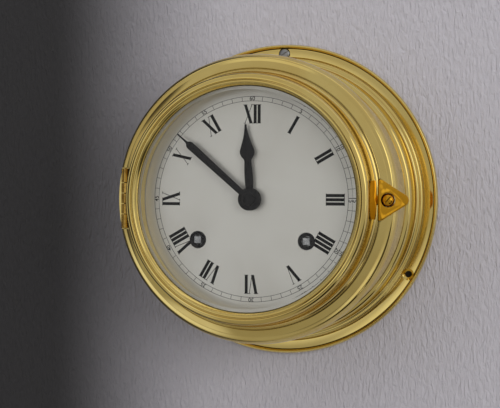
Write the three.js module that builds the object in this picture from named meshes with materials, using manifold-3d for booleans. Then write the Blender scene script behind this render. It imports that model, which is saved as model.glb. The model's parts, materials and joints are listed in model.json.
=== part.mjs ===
// Ship's bell clock that hangs on a wall, with a glazed brass door, an eight-day movement and a bell.
// Millimetres. Each piece is drawn in the clock's own view: x to the right of the dial, y up and
// z out of the wall, with the wall at z = 0. The group is turned at the end so that z becomes up.
import * as THREE from "three";
import { mergeVertices } from "three/addons/utils/BufferGeometryUtils.js";
import Module from "manifold-3d";

const kernel = await Module();
kernel.setup();

// Clearances
const gap = 0.3;
const pivotPlay = 0.3;

// Facets round a full turn
const ringSides = 32;
const discSides = 12;
const rodSides = 8;
const bellSides = 16;
const pivotSides = 6;

// Stack from the wall to the dial
const coverThickness = 1.2;
const lipThickness = 1.2;
const bellNutStandoff = 8;
const bellNutHeight = 3;
const bellDepth = 22;
const bellToPlate = 4.7;
const plateThickness = 1.6;
const pillarLength = 24.4;
const motionWorkRoom = 5.5;
const dialThickness = 0.9;

// Front of the case, from the sight edge of the door outwards
const sightRadius = 59.1;
const glassOverlap = 2.2;
const bezelBeadWidth = 6.5;
const bezelCoveWidth = 3.8;
const bezelFootLip = 0.6;
const bezelFootWidth = 4;
const bezelHeight = 16.5;
const ringFaceWidth = 5.8;
const ringBeadReach = 2.2;
const ringBeadHeight = 9.6;
const dialLedge = 4.2;

// Glass and the ring that keeps it in
const glassThickness = 3.1;
const glassBevelWidth = 3.8;
const glassBevelDepth = 2.2;
const glassRingWall = 0.9;
const glassRingToDial = 0.6;

// Drum and flange
const drumInset = 0.6;
const drumWall = 1.5;
const drumRidge = 1.8;
const ridgeHeight = 24;
const spigotWall = 2.4;
const spigotDepth = 4.2;
const flangeWidth = 14.8;
const flangeLandHeight = 4.2;
const flangeBeadWidth = 2.7;
const flangeBeadHeight = 6.3;
const innerBeadRadius = 1.6;
const innerBeadOffset = 5.3;
const coverLip = 4.3;
const coverInset = 3.4;

// Screws
const wallScrewRadius = 1.75;
const wallScrewHeadRadius = 3.1;
const wallScrewHeadHeight = 2;
const wallScrewLength = 25;
const wallHoleRadius = 2.25;
const wallHoles = 3;
const smallScrewRadius = 0.7;
const smallScrewHeadRadius = 1.4;
const smallScrewHeadHeight = 0.7;
const slotWidth = 0.6;

// Sound holes of the back cover
const soundHoles = 6;
const soundHoleRadius = 3;
const soundHoleCircle = 42;

// Hinge of the door
const hingeAxisInset = 5.4;
const hingeAxisDrop = 1.5;
const hingeBarrelRadius = 2.3;
const hingePinRadius = 0.85;
const hingeLeafThickness = 0.8;
const endKnuckle = 7.6;
const middleKnuckle = 5.4;
const hingeRivetRadius = 0.7;
const caseLeafReach = 2.4;
const caseRivetInset = 1.9;
const doorLeafInset = 0.9;
const doorRivetInset = 2.1;

// Catch of the door
const tabThickness = 1.6;
const tabHalfBase = 10.6;
const tabReach = 14.2;
const tabTipRadius = 3;
const tabRoot = 1.6;
const tabFlankStart = 3.4;
const tabFlankHalf = 8.4;
const ballRadius = 3.3;
const ballOffset = 3.5;
const ballHolePlay = 0.45;
const studRadius = 1.5;
const studDepth = 8;

// Hands
const minuteHandLength = 53;
const hourHandLength = 39.9;
const handThickness = 0.7;
const handHubRadius = 6;
const handTipHalfWidth = 0.5;
const minuteHandHalfWidth = 2.1;
const minuteNeedleLength = 9.5;
const hourStemHalfWidth = 2.1;
const hourBulbHalfWidth = 4.1;
const hourBulbToTip = 14.6;
const hourHandStandoff = 2.6;
const handSpacing = 2.6;
const minuteHandAngle = 310.9;
const hourHandAngle = 355.9;
const handNutRadius = 3.4;
const handNutHeight = 2.5;

// Dial holes
const windingX = 30;
const windingY = -22;
const bushRadius = 4.4;
const bushBore = 2.9;
const bushProud = 0.3;

// Movement plates
const plateRoom = 1.8;
const plateHalfWidth = 52;
const plateTop = 34;
const plateBottom = -44;
const pillarRadius = 2.5;
const pillarTipRadius = 1.2;
const pillars = [
  [-44, 27],
  [44, 27],
  [-11, -40],
  [11, -40],
];
const dialFeet = [
  [-46, 10],
  [46, 10],
  [0, -34],
];
const dialFootRadius = 1.5;

// Wheel work: teeth and modules
const barrelTeeth = 40;
const barrelModule = 1;
const secondPinionLeaves = 8;
const secondTeeth = 40;
const secondModule = 0.8;
const centrePinionLeaves = 8;
const centreTeeth = 48;
const centreModule = 0.7;
const thirdPinionLeaves = 6;
const thirdTeeth = 45;
const thirdModule = 0.6;
const fourthPinionLeaves = 6;
const fourthTeeth = 48;
const fourthModule = 0.5;
const escapePinionLeaves = 6;
const escapeTeeth = 15;
const strikePinionLeaves = 8;
const strikeTeeth = 48;
const strikeModule = 0.7;
const flyPinionLeaves = 6;
const cannonLeaves = 12;
const minuteWheelTeeth = 36;
const motionModule = 0.7;
const minutePinionLeaves = 10;
const hourWheelTeeth = 40;
const wheelThickness = 1.1;
const arborRadius = 1.1;
const pivotRadius = 0.8;

// Mainspring barrels and winding work
const barrelWheelThickness = 1.6;
const barrelWallThickness = 0.9;
const barrelWallInset = 2.8;
const barrelCapThickness = 0.9;
const barrelLift = 4.4;
const barrelDrop = 2;
const springThickness = 0.5;
const springTurns = 3;
const springStepsPerTurn = 10;
const springCoreRadius = 3.6;
const windingArborRadius = 2.6;
const windingSquare = 3.6;
const ratchetRadius = 8;
const ratchetTeeth = 12;
const ratchetDepth = 1.4;
const ratchetThickness = 1.2;
const clickDistance = 13;
const clickRadius = 2;

// Platform escapement
const escapeRadius = 4.8;
const palletDistance = 7;
const palletToBalance = 8;
const platformAngle = -20;
const platformThickness = 1.1;
const platformWidth = 13;
const balanceRadius = 9;
const balanceRim = 1.4;
const balanceSpringRadius = 5.6;
const balanceSpringTurns = 3;
const balanceSpringThickness = 0.25;
const balanceSpringHeight = 0.7;
const cockThickness = 1.5;

// Strike work, hammer and bell
const strikePins = 8;
const strikePinCircle = 12;
const strikePinRadius = 0.6;
const strikePinLength = 2;
const flyHalfWidth = 8;
const flyHeight = 12;
const bellRadius = 30;
const bellWall = 1.5;
const bellDrop = 14;
const bellPostRadius = 3;
const bellScrewRadius = 2;
const hammerX = -41.5;
const hammerY = 13.5;
const hammerHeadRadius = 3;
const hammerHeadLength = 8;
const hammerToBell = 1.2;

// Heights above the wall
const coverSeat = coverThickness + gap;
const lipTop = coverSeat + lipThickness;
const bellCrown = bellNutStandoff + bellNutHeight + gap;
const bellMouth = bellCrown + bellDepth;
const backPlateBack = bellMouth + bellToPlate;
const backPlateFront = backPlateBack + plateThickness;
const frontPlateBack = backPlateFront + pillarLength;
const frontPlateFront = frontPlateBack + plateThickness;
const dialBack = frontPlateFront + motionWorkRoom;
const dialFace = dialBack + dialThickness;
const ledgeTop = dialBack - gap;
const ledgeBottom = ledgeTop - 1.2;
const ringTop = dialFace + 0.8;
const ringRear = ringTop - 2.5 - ringBeadHeight - 0.5;
const drumTop = ringRear - gap;
const bezelFoot = ringTop + gap;
const bezelTop = bezelFoot + bezelHeight;
const glassFront = bezelTop - 2.8;
const glassBack = glassFront - glassThickness;

// Radii of the case
const glassRadius = sightRadius + glassOverlap;
const rebateRadius = glassRadius + gap;
const bezelCrease = sightRadius + bezelBeadWidth;
const bezelRadius = bezelCrease + bezelCoveWidth + bezelFootLip;
const recessRadius = bezelRadius - bezelFootWidth;
const dialRadius = recessRadius - gap;
const ledgeRadius = recessRadius - dialLedge;
const ringFaceRadius = bezelRadius + ringFaceWidth;
const ringRadius = ringFaceRadius + ringBeadReach;
const drumRadius = ringFaceRadius - drumInset;
const drumInner = drumRadius - drumWall;
const spigotRadius = drumInner - gap;
const spigotInner = spigotRadius - spigotWall;
const coverRadius = drumInner - coverInset;
const lipRadius = coverRadius + gap - coverLip;
const flangeRadius = drumRadius + flangeWidth;
const landOuter = flangeRadius - flangeBeadWidth - gap;
const innerBeadCentre = drumRadius + innerBeadOffset;
const landInner = innerBeadCentre + innerBeadRadius + 0.2;
const screwCircle = (landInner + landOuter) / 2;
const coverScrewCircle = (lipRadius + coverRadius) / 2;

// Hinge and catch places
const hingeX = -(recessRadius + hingeAxisInset + 1.2);
const hingeZ = bezelFoot - hingeAxisDrop - hingeLeafThickness - gap;
const hingeHalfLength = endKnuckle + gap + middleKnuckle + gap + middleKnuckle / 2;
const ballX = bezelRadius + ballOffset;
const ballSeat = ringTop - 2.2;
const ballZ = bezelFoot + tabThickness / 2 - 0.5;

// Heights in the movement
const pivotBack = backPlateBack + gap;
const pivotFront = frontPlateFront - gap;
const barrelTop = frontPlateBack - barrelDrop;
const barrelBottom = backPlateFront + barrelLift;
const firstLevel = backPlateFront + 1;
const centreLevel = backPlateFront + 5.4;
const thirdLevel = centreLevel + 5;
const fourthLevel = thirdLevel + 5;
const platformFront = backPlateBack - gap;
const platformBack = platformFront - platformThickness;
const escapeLevel = platformBack - 2.2;
const balanceLevel = escapeLevel - 3.4;
const balanceSpringLevel = balanceLevel - 1.2;
const cockBack = balanceSpringLevel - gap - cockThickness;
const motionLevel = frontPlateFront + 0.6;
const hourLevel = motionLevel + 2.2;
const hourHandBack = dialFace + hourHandStandoff;
const minuteHandBack = hourHandBack + handSpacing;
const windingTop = dialFace + 0.4;

// Bores and pipes on the centre line of the dial
const cannonBore = arborRadius + pivotPlay;
const cannonPipe = cannonBore + 0.9;
const cannonTip = cannonPipe - 0.5;
const hourBore = cannonPipe + pivotPlay;
const hourPipe = hourBore + 0.9;
const dialCentreHole = hourPipe + 1.3;
const pivotHole = pivotRadius + pivotPlay;

// Places of the arbors, worked out from the pitch circles
const time = new THREE.Vector2(windingX, windingY);
const strikeSide = new THREE.Vector2(-windingX, windingY);
const centre = new THREE.Vector2(0, 0);
const second = meshingPoint(
  time,
  pitchDistance(barrelTeeth, secondPinionLeaves, barrelModule),
  centre,
  pitchDistance(secondTeeth, centrePinionLeaves, secondModule),
);
const third = polarPoint(centre, pitchDistance(centreTeeth, thirdPinionLeaves, centreModule), 100);
const fourth = polarPoint(third, pitchDistance(thirdTeeth, fourthPinionLeaves, thirdModule), 10);
const escape = polarPoint(fourth, pitchDistance(fourthTeeth, escapePinionLeaves, fourthModule), 30);
const pallet = polarPoint(escape, palletDistance, platformAngle);
const balance = polarPoint(pallet, palletToBalance, platformAngle);
const cockFoot = polarPoint(balance, balanceRadius + 3.5, platformAngle);
const strikeWheelPlace = polarPoint(
  strikeSide,
  pitchDistance(barrelTeeth, strikePinionLeaves, barrelModule),
  80,
);
const fly = polarPoint(
  strikeWheelPlace,
  pitchDistance(strikeTeeth, flyPinionLeaves, strikeModule),
  95,
);
const motionDistance = pitchDistance(cannonLeaves, minuteWheelTeeth, motionModule);
const minuteStud = new THREE.Vector2(0, motionDistance);
const hammerPlace = new THREE.Vector2(hammerX, hammerY);
const bellPlace = new THREE.Vector2(0, -bellDrop);

// Finishes
const polishedBrass = { color: 0xc8a24a, roughness: 0.16, metalness: 1 };
const satinBrass = { color: 0xb9973f, roughness: 0.4, metalness: 1 };
const wornBrass = { color: 0x9a7a34, roughness: 0.45, metalness: 1 };
const silveredDial = { color: 0xd9d2bd, roughness: 0.5, metalness: 0.2 };
const blackPaint = { color: 0x141414, roughness: 0.4, metalness: 0.1 };
const screwSteel = { color: 0x8d8f90, roughness: 0.3, metalness: 1 };
const bluedSteel = { color: 0x2a3140, roughness: 0.3, metalness: 1 };
const clearGlass = { color: 0xeef4f2, roughness: 0.02, metalness: 0, transparent: true, opacity: 0.25 };

// Place of a point at a distance and a bearing in degrees from another
function polarPoint(from, distance, degrees) {
  const angle = THREE.MathUtils.degToRad(degrees);
  return new THREE.Vector2(from.x + distance * Math.cos(angle), from.y + distance * Math.sin(angle));
}

// Distance between the centres of a wheel and a pinion that mesh
function pitchDistance(teeth, leaves, module) {
  return ((teeth + leaves) * module) / 2;
}

// Point above the line from a to b, at given distances from both
function meshingPoint(a, fromA, b, fromB) {
  const span = a.distanceTo(b);
  const along = (fromA ** 2 - fromB ** 2 + span ** 2) / (2 * span);
  const across = Math.sqrt(fromA ** 2 - along ** 2);
  const direction = b.clone().sub(a).normalize();
  return new THREE.Vector2(
    a.x + direction.x * along + direction.y * across,
    a.y + direction.y * along - direction.x * across,
  );
}

// Bearing in radians from one point to another
function bearing(from, to) {
  return Math.atan2(to.y - from.y, to.x - from.x);
}

// Closed solid of a geometry, with its shared corners merged and its faces out
function toSolid(geometry) {
  const bare = geometry.clone();
  bare.deleteAttribute("normal");
  bare.deleteAttribute("uv");
  const merged = mergeVertices(bare, 1e-4);
  const corners = merged.getAttribute("position");
  const index = merged.index.array;
  const faces = [];
  let volume = 0;
  const [a, b, c] = [new THREE.Vector3(), new THREE.Vector3(), new THREE.Vector3()];
  for (let i = 0; i < index.length; i += 3) {
    const [p, q, r] = [index[i], index[i + 1], index[i + 2]];
    if (p === q || q === r || r === p) continue;
    faces.push(p, q, r);
    a.fromBufferAttribute(corners, p);
    b.fromBufferAttribute(corners, q);
    c.fromBufferAttribute(corners, r);
    volume += a.dot(b.cross(c));
  }
  if (volume < 0) faces.reverse();
  return new kernel.Manifold(
    new kernel.Mesh({
      numProp: 3,
      vertProperties: new Float32Array(corners.array),
      triVerts: new Uint32Array(faces),
    }),
  );
}

// Geometry of a solid, with flat facets
function toGeometry(solid) {
  const mesh = solid.asOriginal().simplify(0.005).getMesh();
  const geometry = new THREE.BufferGeometry();
  geometry.setAttribute("position", new THREE.BufferAttribute(mesh.vertProperties, 3));
  geometry.setIndex(new THREE.BufferAttribute(mesh.triVerts, 1));
  const flat = geometry.toNonIndexed();
  flat.computeVertexNormals();
  return flat;
}

// Solid of several that touch or cross
function joined(...solids) {
  return kernel.Manifold.union(solids);
}

// Solid less several cutters
function cut(solid, ...cutters) {
  return solid.subtract(kernel.Manifold.union(cutters));
}

// Solid moved across the dial
function at(place, solid) {
  return solid.translate([place.x, place.y, 0]);
}

// Profile of [radius, height] points turned round the z axis
function turned(profile, sides = ringSides) {
  const points = [...profile, profile[0]].map(([radius, height]) => new THREE.Vector2(radius, height));
  const geometry = new THREE.LatheGeometry(points, sides);
  geometry.rotateX(Math.PI / 2);
  return toSolid(geometry);
}

// Points of an elliptical arc in a profile, both ends included
function arc(radius, height, reach, rise, fromDegrees, toDegrees, steps) {
  return Array.from({ length: steps + 1 }, (_, i) => {
    const angle = THREE.MathUtils.degToRad(fromDegrees + ((toDegrees - fromDegrees) * i) / steps);
    return [radius + reach * Math.cos(angle), height + rise * Math.sin(angle)];
  });
}

// Round rod along z
function rod(radius, from, to, sides = rodSides, place = centre) {
  const geometry = new THREE.CylinderGeometry(radius, radius, to - from, sides);
  geometry.rotateX(Math.PI / 2);
  geometry.translate(place.x, place.y, (from + to) / 2);
  return toSolid(geometry);
}

// Tube along z
function tube(inner, outer, from, to, sides = discSides) {
  return turned(
    [
      [inner, from],
      [outer, from],
      [outer, to],
      [inner, to],
    ],
    sides,
  );
}

// Flat outline with a thickness along z
function plate(shape, from, to, curveSegments = 6) {
  const geometry = new THREE.ExtrudeGeometry(shape, {
    depth: to - from,
    bevelEnabled: false,
    curveSegments,
  });
  geometry.translate(0, 0, from);
  return toSolid(geometry);
}

// Block between two corners
function block(x0, x1, y0, y1, z0, z1) {
  const geometry = new THREE.BoxGeometry(x1 - x0, y1 - y0, z1 - z0);
  geometry.translate((x0 + x1) / 2, (y0 + y1) / 2, (z0 + z1) / 2);
  return toSolid(geometry);
}

// Outline through points given as [x, y]
function outline(points) {
  return new THREE.Shape(points.map(([x, y]) => new THREE.Vector2(x, y)));
}

// Outline with the same half on both sides of the y axis
function mirroredOutline(half) {
  return outline([...half, ...half.toReversed().map(([x, y]) => [-x, y])]);
}

// Outline of a bar with round ends, from one point to another
function stadium(from, to, radius) {
  const shape = new THREE.Shape();
  const angle = bearing(from, to);
  shape.absarc(to.x, to.y, radius, angle - Math.PI / 2, angle + Math.PI / 2, false);
  shape.absarc(from.x, from.y, radius, angle + Math.PI / 2, angle + (3 * Math.PI) / 2, false);
  return shape;
}

// Wheel of pointed teeth, with one tooth at the given bearing
function wheel(teeth, module, phase, from, to) {
  const radius = (teeth * module) / 2;
  const shape = new THREE.Shape();
  for (let i = 0; i < teeth; i += 1) {
    const angle = phase + (i * 2 * Math.PI) / teeth;
    const half = Math.PI / teeth;
    const tip = radius + 0.75 * module;
    const root = radius - 1.15 * module;
    if (i === 0) shape.moveTo(tip * Math.cos(angle), tip * Math.sin(angle));
    else shape.lineTo(tip * Math.cos(angle), tip * Math.sin(angle));
    shape.lineTo(root * Math.cos(angle + half), root * Math.sin(angle + half));
  }
  return plate(shape, from, to);
}

// Pinion of thin leaves, with a space between two leaves at the given bearing
function pinion(leaves, module, phase, from, to) {
  const radius = (leaves * module) / 2;
  const tip = radius + 0.6 * module;
  const root = radius - 1.2 * module;
  const rootHalf = (0.4 * module) / root;
  const points = [];
  for (let i = 0; i < leaves; i += 1) {
    const angle = phase + ((i + 0.5) * 2 * Math.PI) / leaves;
    points.push([root * Math.cos(angle - rootHalf), root * Math.sin(angle - rootHalf)]);
    points.push([tip * Math.cos(angle), tip * Math.sin(angle)]);
    points.push([root * Math.cos(angle + rootHalf), root * Math.sin(angle + rootHalf)]);
  }
  return plate(outline(points), from, to);
}

// Arbor of the train, thick between the plates and thin in its pivot holes
function arbor(thickFrom, thickTo) {
  return joined(
    rod(arborRadius, thickFrom, thickTo, pivotSides),
    rod(pivotRadius, pivotBack, pivotFront, pivotSides),
  );
}

// Flat strip wound into a spiral, and the least space between its turns
function spiral(name, innerRadius, outerRadius, turns, thickness, from, to) {
  const steps = turns * springStepsPerTurn;
  const inner = [];
  const outer = [];
  for (let i = 0; i <= steps; i += 1) {
    const angle = (i * 2 * Math.PI) / springStepsPerTurn;
    const radius = innerRadius + ((outerRadius - innerRadius) * i) / steps;
    inner.push([(radius - thickness / 2) * Math.cos(angle), (radius - thickness / 2) * Math.sin(angle)]);
    outer.push([(radius + thickness / 2) * Math.cos(angle), (radius + thickness / 2) * Math.sin(angle)]);
  }
  let least = Infinity;
  for (let i = 0; i + springStepsPerTurn <= steps; i += 1) {
    const [x0, y0] = outer[i];
    const [x1, y1] = inner[i + springStepsPerTurn];
    least = Math.min(least, Math.hypot(x1 - x0, y1 - y0));
  }
  console.log(`${name}: least space between turns ${least.toFixed(2)} mm`);
  return plate(outline([...outer, ...inner.reverse()]), from, to);
}

// Adds a named piece with a material of its own to a group
function addPiece(group, name, solid, finish, place = centre) {
  const mesh = new THREE.Mesh(toGeometry(solid), new THREE.MeshStandardMaterial(finish));
  mesh.name = name;
  mesh.position.x += place.x;
  mesh.position.y += place.y;
  group.add(mesh);
  return mesh;
}

// Slot across the top of a screw head
function screwSlot(halfLength, top, depth) {
  return block(-halfLength, halfLength, -slotWidth / 2, slotWidth / 2, top - depth, top + 1);
}

// Countersunk hole that goes through towards the wall
function countersink(bore, head, headHeight, face, clearAbove) {
  return turned(
    [
      [0, -1],
      [bore, -1],
      [bore, face - headHeight],
      [head, face],
      [head, face + clearAbove],
      [0, face + clearAbove],
    ],
    rodSides,
  );
}

// Place on the flange's screw circle, counted from twelve o'clock
function wallHolePlace(i) {
  return polarPoint(centre, screwCircle, 90 - (i * 360) / wallHoles);
}

// Place on the back cover's screw circle
function coverScrewPlace(i) {
  return polarPoint(centre, coverScrewCircle, 30 + i * 120);
}

// Place of a screw that holds the dial on its ledge
function dialScrewPlace(i) {
  return polarPoint(centre, (ledgeRadius + dialRadius) / 2 + 0.3, 30 + i * 120);
}

// Spun drum with its beaded flange, ridge and rear lip
function caseDrum() {
  const coveFoot = innerBeadCentre - 0.5;
  const coveTop = drumRadius + 1.2;
  const coveStart = flangeLandHeight + innerBeadRadius + 2.3;
  const coveEnd = ridgeHeight - 2.5;
  const cove = arc(coveFoot, coveEnd, coveTop - coveFoot, coveStart - coveEnd, 90, 0, 3);
  const beadCentre = flangeRadius - flangeBeadWidth / 2;
  const profile = [
    [lipRadius, coverSeat],
    [coverRadius + gap, coverSeat],
    [coverRadius + gap, 0],
    [flangeRadius - 1.4, 0],
    ...arc(beadCentre, 3.8, flangeBeadWidth / 2, flangeBeadHeight - 3.8, -45, 180, 4),
    [landOuter, flangeLandHeight - 0.7],
    [landOuter - 0.3, flangeLandHeight],
    [landInner, flangeLandHeight],
    ...arc(innerBeadCentre, flangeLandHeight + 2.3, innerBeadRadius, innerBeadRadius, -50, 100, 3),
    ...cove,
    ...arc(drumRadius + 0.2, ridgeHeight, drumRidge - 0.2, 2.2, -60, 60, 2),
    [drumRadius, ridgeHeight + 3],
    [drumRadius, drumTop],
    [drumInner, drumTop],
    [drumInner, lipTop],
    [lipRadius, lipTop],
  ];
  const holes = Array.from({ length: wallHoles }, (_, i) =>
    at(
      wallHolePlace(i),
      countersink(wallHoleRadius, wallScrewHeadRadius + gap, wallScrewHeadHeight, flangeLandHeight, 6),
    ),
  );
  const coverHoles = [0, 1, 2].map((i) =>
    rod(smallScrewRadius + gap, coverSeat - 0.5, lipTop + 0.5, pivotSides, coverScrewPlace(i)),
  );
  return cut(turned(profile), ...holes, ...coverHoles);
}

// Flat cover let into the back of the drum, with its ring of sound holes
function backCover() {
  const disc = rod(coverRadius, 0, coverThickness, ringSides);
  const sound = Array.from({ length: soundHoles }, (_, i) =>
    rod(
      soundHoleRadius,
      -1,
      coverThickness + 1,
      rodSides,
      polarPoint(centre, soundHoleCircle, ((i + 0.5) * 360) / soundHoles),
    ),
  );
  const screws = [0, 1, 2].map((i) => at(coverScrewPlace(i), coverScrewShape(gap, -1)));
  return cut(disc, ...sound, ...screws);
}

// Flush screw of the back cover, or the hole for it when it is drawn larger
function coverScrewShape(play, from) {
  return joined(
    rod(smallScrewHeadRadius + play, from, smallScrewHeadHeight + play, pivotSides),
    rod(smallScrewRadius + play, 0, lipTop - 0.2, pivotSides),
  );
}

// Flush screw of the back cover with its slot
function coverScrew() {
  const slot = block(
    -smallScrewHeadRadius - 1,
    smallScrewHeadRadius + 1,
    -slotWidth / 2,
    slotWidth / 2,
    -1,
    smallScrewHeadHeight / 2,
  );
  return cut(coverScrewShape(0, 0), slot);
}

// Countersunk wood screw that holds the flange to the wall
function wallScrew() {
  const head = flangeLandHeight + gap / 2;
  const tip = head - wallScrewLength;
  const body = turned(
    [
      [0, tip],
      [wallScrewRadius, tip + 4],
      [wallScrewRadius, head - wallScrewHeadHeight + 0.2],
      [wallScrewHeadRadius - 0.15, head - 0.1],
      [wallScrewHeadRadius * 0.7, head + 0.35],
      [0, head + 0.5],
    ],
    rodSides,
  );
  const slot = screwSlot(wallScrewHeadRadius + 1, head + 0.5, 1).rotate([0, 0, 35]);
  return cut(body, slot);
}

// Turned front ring: spigot in the drum, bead, sloping face and the ledge that carries the dial
function caseFrontRing() {
  const beadMiddle = ringTop - 2.5 - ringBeadHeight / 2 - 0.1;
  const profile = [
    [spigotInner, ringRear - spigotDepth],
    [spigotRadius, ringRear - spigotDepth],
    [spigotRadius, ringRear],
    [drumRadius + 0.1, ringRear],
    ...arc(ringFaceRadius - 0.8, beadMiddle, ringRadius - ringFaceRadius + 0.8, ringBeadHeight / 2, -70, 72, 4),
    [ringFaceRadius, ringTop - 2.6],
    [ringFaceRadius - 0.4, ringTop - 2.4],
    [bezelRadius, ringTop],
    [recessRadius, ringTop],
    [recessRadius, ledgeTop],
    [ledgeRadius, ledgeTop],
    [ledgeRadius, ledgeBottom],
    [spigotInner, ledgeBottom],
  ];
  const hingeNotch = block(
    -ringRadius - 1,
    hingeX + hingeBarrelRadius + 0.5,
    -hingeHalfLength - 0.6,
    hingeHalfLength + 0.6,
    hingeZ - hingeBarrelRadius - 1.7,
    ringTop + 1,
  );
  const leafPocket = block(
    hingeX,
    hingeLeafEnd() + gap,
    -bezelLeafHalf() - gap,
    bezelLeafHalf() + gap,
    hingeZ + hingeBarrelRadius - hingeLeafThickness - gap,
    ringTop + 1,
  );
  const leafSlot = block(
    hingeX,
    -recessRadius,
    -hingeHalfLength - gap,
    hingeHalfLength + gap,
    ledgeBottom - 2 * gap - hingeLeafThickness,
    ledgeBottom,
  );
  const rivetHoles = caseRivets().map((place) =>
    rod(hingeRivetRadius + gap, ledgeBottom - 1, ringTop + 1, pivotSides, place),
  );
  const spotFace = rod(ballRadius + gap, ballSeat, ringTop + 1, rodSides, new THREE.Vector2(ballX, 0));
  const studHole = rod(
    studRadius + gap,
    ballSeat - studDepth,
    ringTop,
    pivotSides,
    new THREE.Vector2(ballX, 0),
  );
  const dialScrewHoles = [0, 1, 2].map((i) =>
    rod(smallScrewRadius + gap, ledgeBottom - 1, ledgeTop + 1, pivotSides, dialScrewPlace(i)),
  );
  return cut(
    turned(profile),
    hingeNotch,
    leafPocket,
    leafSlot,
    spotFace,
    studHole,
    ...rivetHoles,
    ...dialScrewHoles,
  );
}

// Right edge of the door's hinge leaf
function hingeLeafEnd() {
  return -recessRadius - doorLeafInset;
}

// Half the height of the door's hinge leaf
function bezelLeafHalf() {
  return middleKnuckle * 1.5 + gap;
}

// Rivets of the case leaf, in the web of the front ring
function caseRivets() {
  return [-1, 1].map((side) => new THREE.Vector2(-recessRadius - caseRivetInset, side * (hingeHalfLength - 4)));
}

// Rivets of the door leaf, in the foot of the bezel
function bezelRivets() {
  return [-1, 1].map((side) => new THREE.Vector2(-recessRadius - doorRivetInset, side * (bezelLeafHalf() - 3)));
}

// Hinge knuckle between two heights of the dial
function knuckle(from, to) {
  const shell = tube(hingePinRadius + pivotPlay, hingeBarrelRadius, from, to, rodSides);
  return shell.rotate([-90, 0, 0]).translate([hingeX, 0, hingeZ]);
}

// Hinge leaf on the case, with the first, third and fifth knuckles
function hingeCaseLeaf() {
  const half = middleKnuckle / 2;
  const leafTop = ledgeBottom - gap;
  const leaf = block(
    hingeX,
    -recessRadius + caseLeafReach,
    -hingeHalfLength,
    hingeHalfLength,
    leafTop - hingeLeafThickness,
    leafTop,
  );
  const relief = [-1, 1].map((side) =>
    block(
      hingeX - hingeBarrelRadius - 1,
      hingeX + hingeBarrelRadius + gap,
      side > 0 ? half : -half - gap * 2 - middleKnuckle,
      side > 0 ? half + gap * 2 + middleKnuckle : -half,
      leafTop - 3,
      leafTop + 1,
    ),
  );
  const rivets = caseRivets().map((place) =>
    rod(hingeRivetRadius, leafTop - 0.2, ringTop - gap, pivotSides, place),
  );
  const pinHole = rod(hingePinRadius + pivotPlay, -hingeHalfLength - 1, hingeHalfLength + 1, rodSides)
    .rotate([-90, 0, 0])
    .translate([hingeX, 0, hingeZ]);
  return cut(
    joined(
      cut(leaf, ...relief),
      ...rivets,
      knuckle(-hingeHalfLength, -hingeHalfLength + endKnuckle),
      knuckle(-half, half),
      knuckle(hingeHalfLength - endKnuckle, hingeHalfLength),
    ),
    pinHole,
  );
}

// Hinge leaf on the door, with the second and fourth knuckles
function hingeBezelLeaf() {
  const half = middleKnuckle / 2;
  const leafTop = bezelFoot - gap;
  const leaf = block(
    hingeX,
    hingeLeafEnd(),
    -bezelLeafHalf(),
    bezelLeafHalf(),
    leafTop - hingeLeafThickness,
    leafTop,
  );
  const relief = block(
    hingeX - hingeBarrelRadius - 1,
    hingeX + hingeBarrelRadius + gap,
    -half - gap,
    half + gap,
    leafTop - 3,
    leafTop + 1,
  );
  const rivets = bezelRivets().map((place) =>
    rod(hingeRivetRadius, leafTop - 0.2, bezelFoot + 0.6, pivotSides, place),
  );
  const pinHole = rod(hingePinRadius + pivotPlay, -hingeHalfLength, hingeHalfLength, rodSides)
    .rotate([-90, 0, 0])
    .translate([hingeX, 0, hingeZ]);
  return cut(
    joined(
      cut(leaf, relief),
      ...rivets,
      knuckle(half + gap, half + gap + middleKnuckle),
      knuckle(-half - gap - middleKnuckle, -half - gap),
    ),
    pinHole,
  );
}

// Pin through the five knuckles
function hingePin() {
  return rod(hingePinRadius, -hingeHalfLength - gap, hingeHalfLength + gap, rodSides)
    .rotate([-90, 0, 0])
    .translate([hingeX, 0, hingeZ]);
}

// Slotted ball stud of the catch
function catchStud() {
  const ball = turned(arc(0, ballZ, ballRadius, ballRadius, -90, 90, 6), discSides);
  const under = block(-5, 5, -5, 5, ballZ - ballRadius - 1, ballSeat + gap);
  const shank = rod(studRadius, ballSeat - studDepth + gap, ballSeat + 1, pivotSides);
  const slot = screwSlot(ballRadius + 1, ballZ + ballRadius, 1.2).rotate([0, 0, 50]);
  return joined(cut(ball, under, slot), shank);
}

// Spun bezel of the door: foot, cove, bead, sight edge and the rebate for the glass
function bezelRing() {
  const coveFoot = bezelRadius - bezelFootLip;
  const coveRise = bezelHeight - 4.3;
  const beadCentre = sightRadius + 3.6;
  const lipUnder = glassFront - 0.7;
  const profile = [
    [recessRadius, bezelFoot],
    [bezelRadius, bezelFoot],
    [bezelRadius, bezelFoot + 0.8],
    ...arc(coveFoot, bezelFoot + 1.3 + coveRise, bezelCrease + 0.3 - coveFoot, -coveRise, 90, 0, 4),
    [bezelCrease, bezelTop - 2.3],
    ...arc(beadCentre, bezelTop - 2.7, bezelCrease - beadCentre, 2.7, 18, 150, 5),
    [sightRadius, glassFront],
    [sightRadius + 0.1, lipUnder],
    [rebateRadius, lipUnder],
    [rebateRadius, bezelFoot + 5.9],
    [rebateRadius + 1.8, bezelFoot + 5.5],
    [recessRadius, bezelFoot + 2.9],
  ];
  const tabSlot = catchTabPlate(gap, bezelFoot - 1, bezelFoot + tabThickness + gap);
  const rivetHoles = bezelRivets().map((place) =>
    rod(hingeRivetRadius + gap, bezelFoot - 1, bezelFoot + 0.9, pivotSides, place),
  );
  return cut(turned(profile), tabSlot, ...rivetHoles);
}

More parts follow.
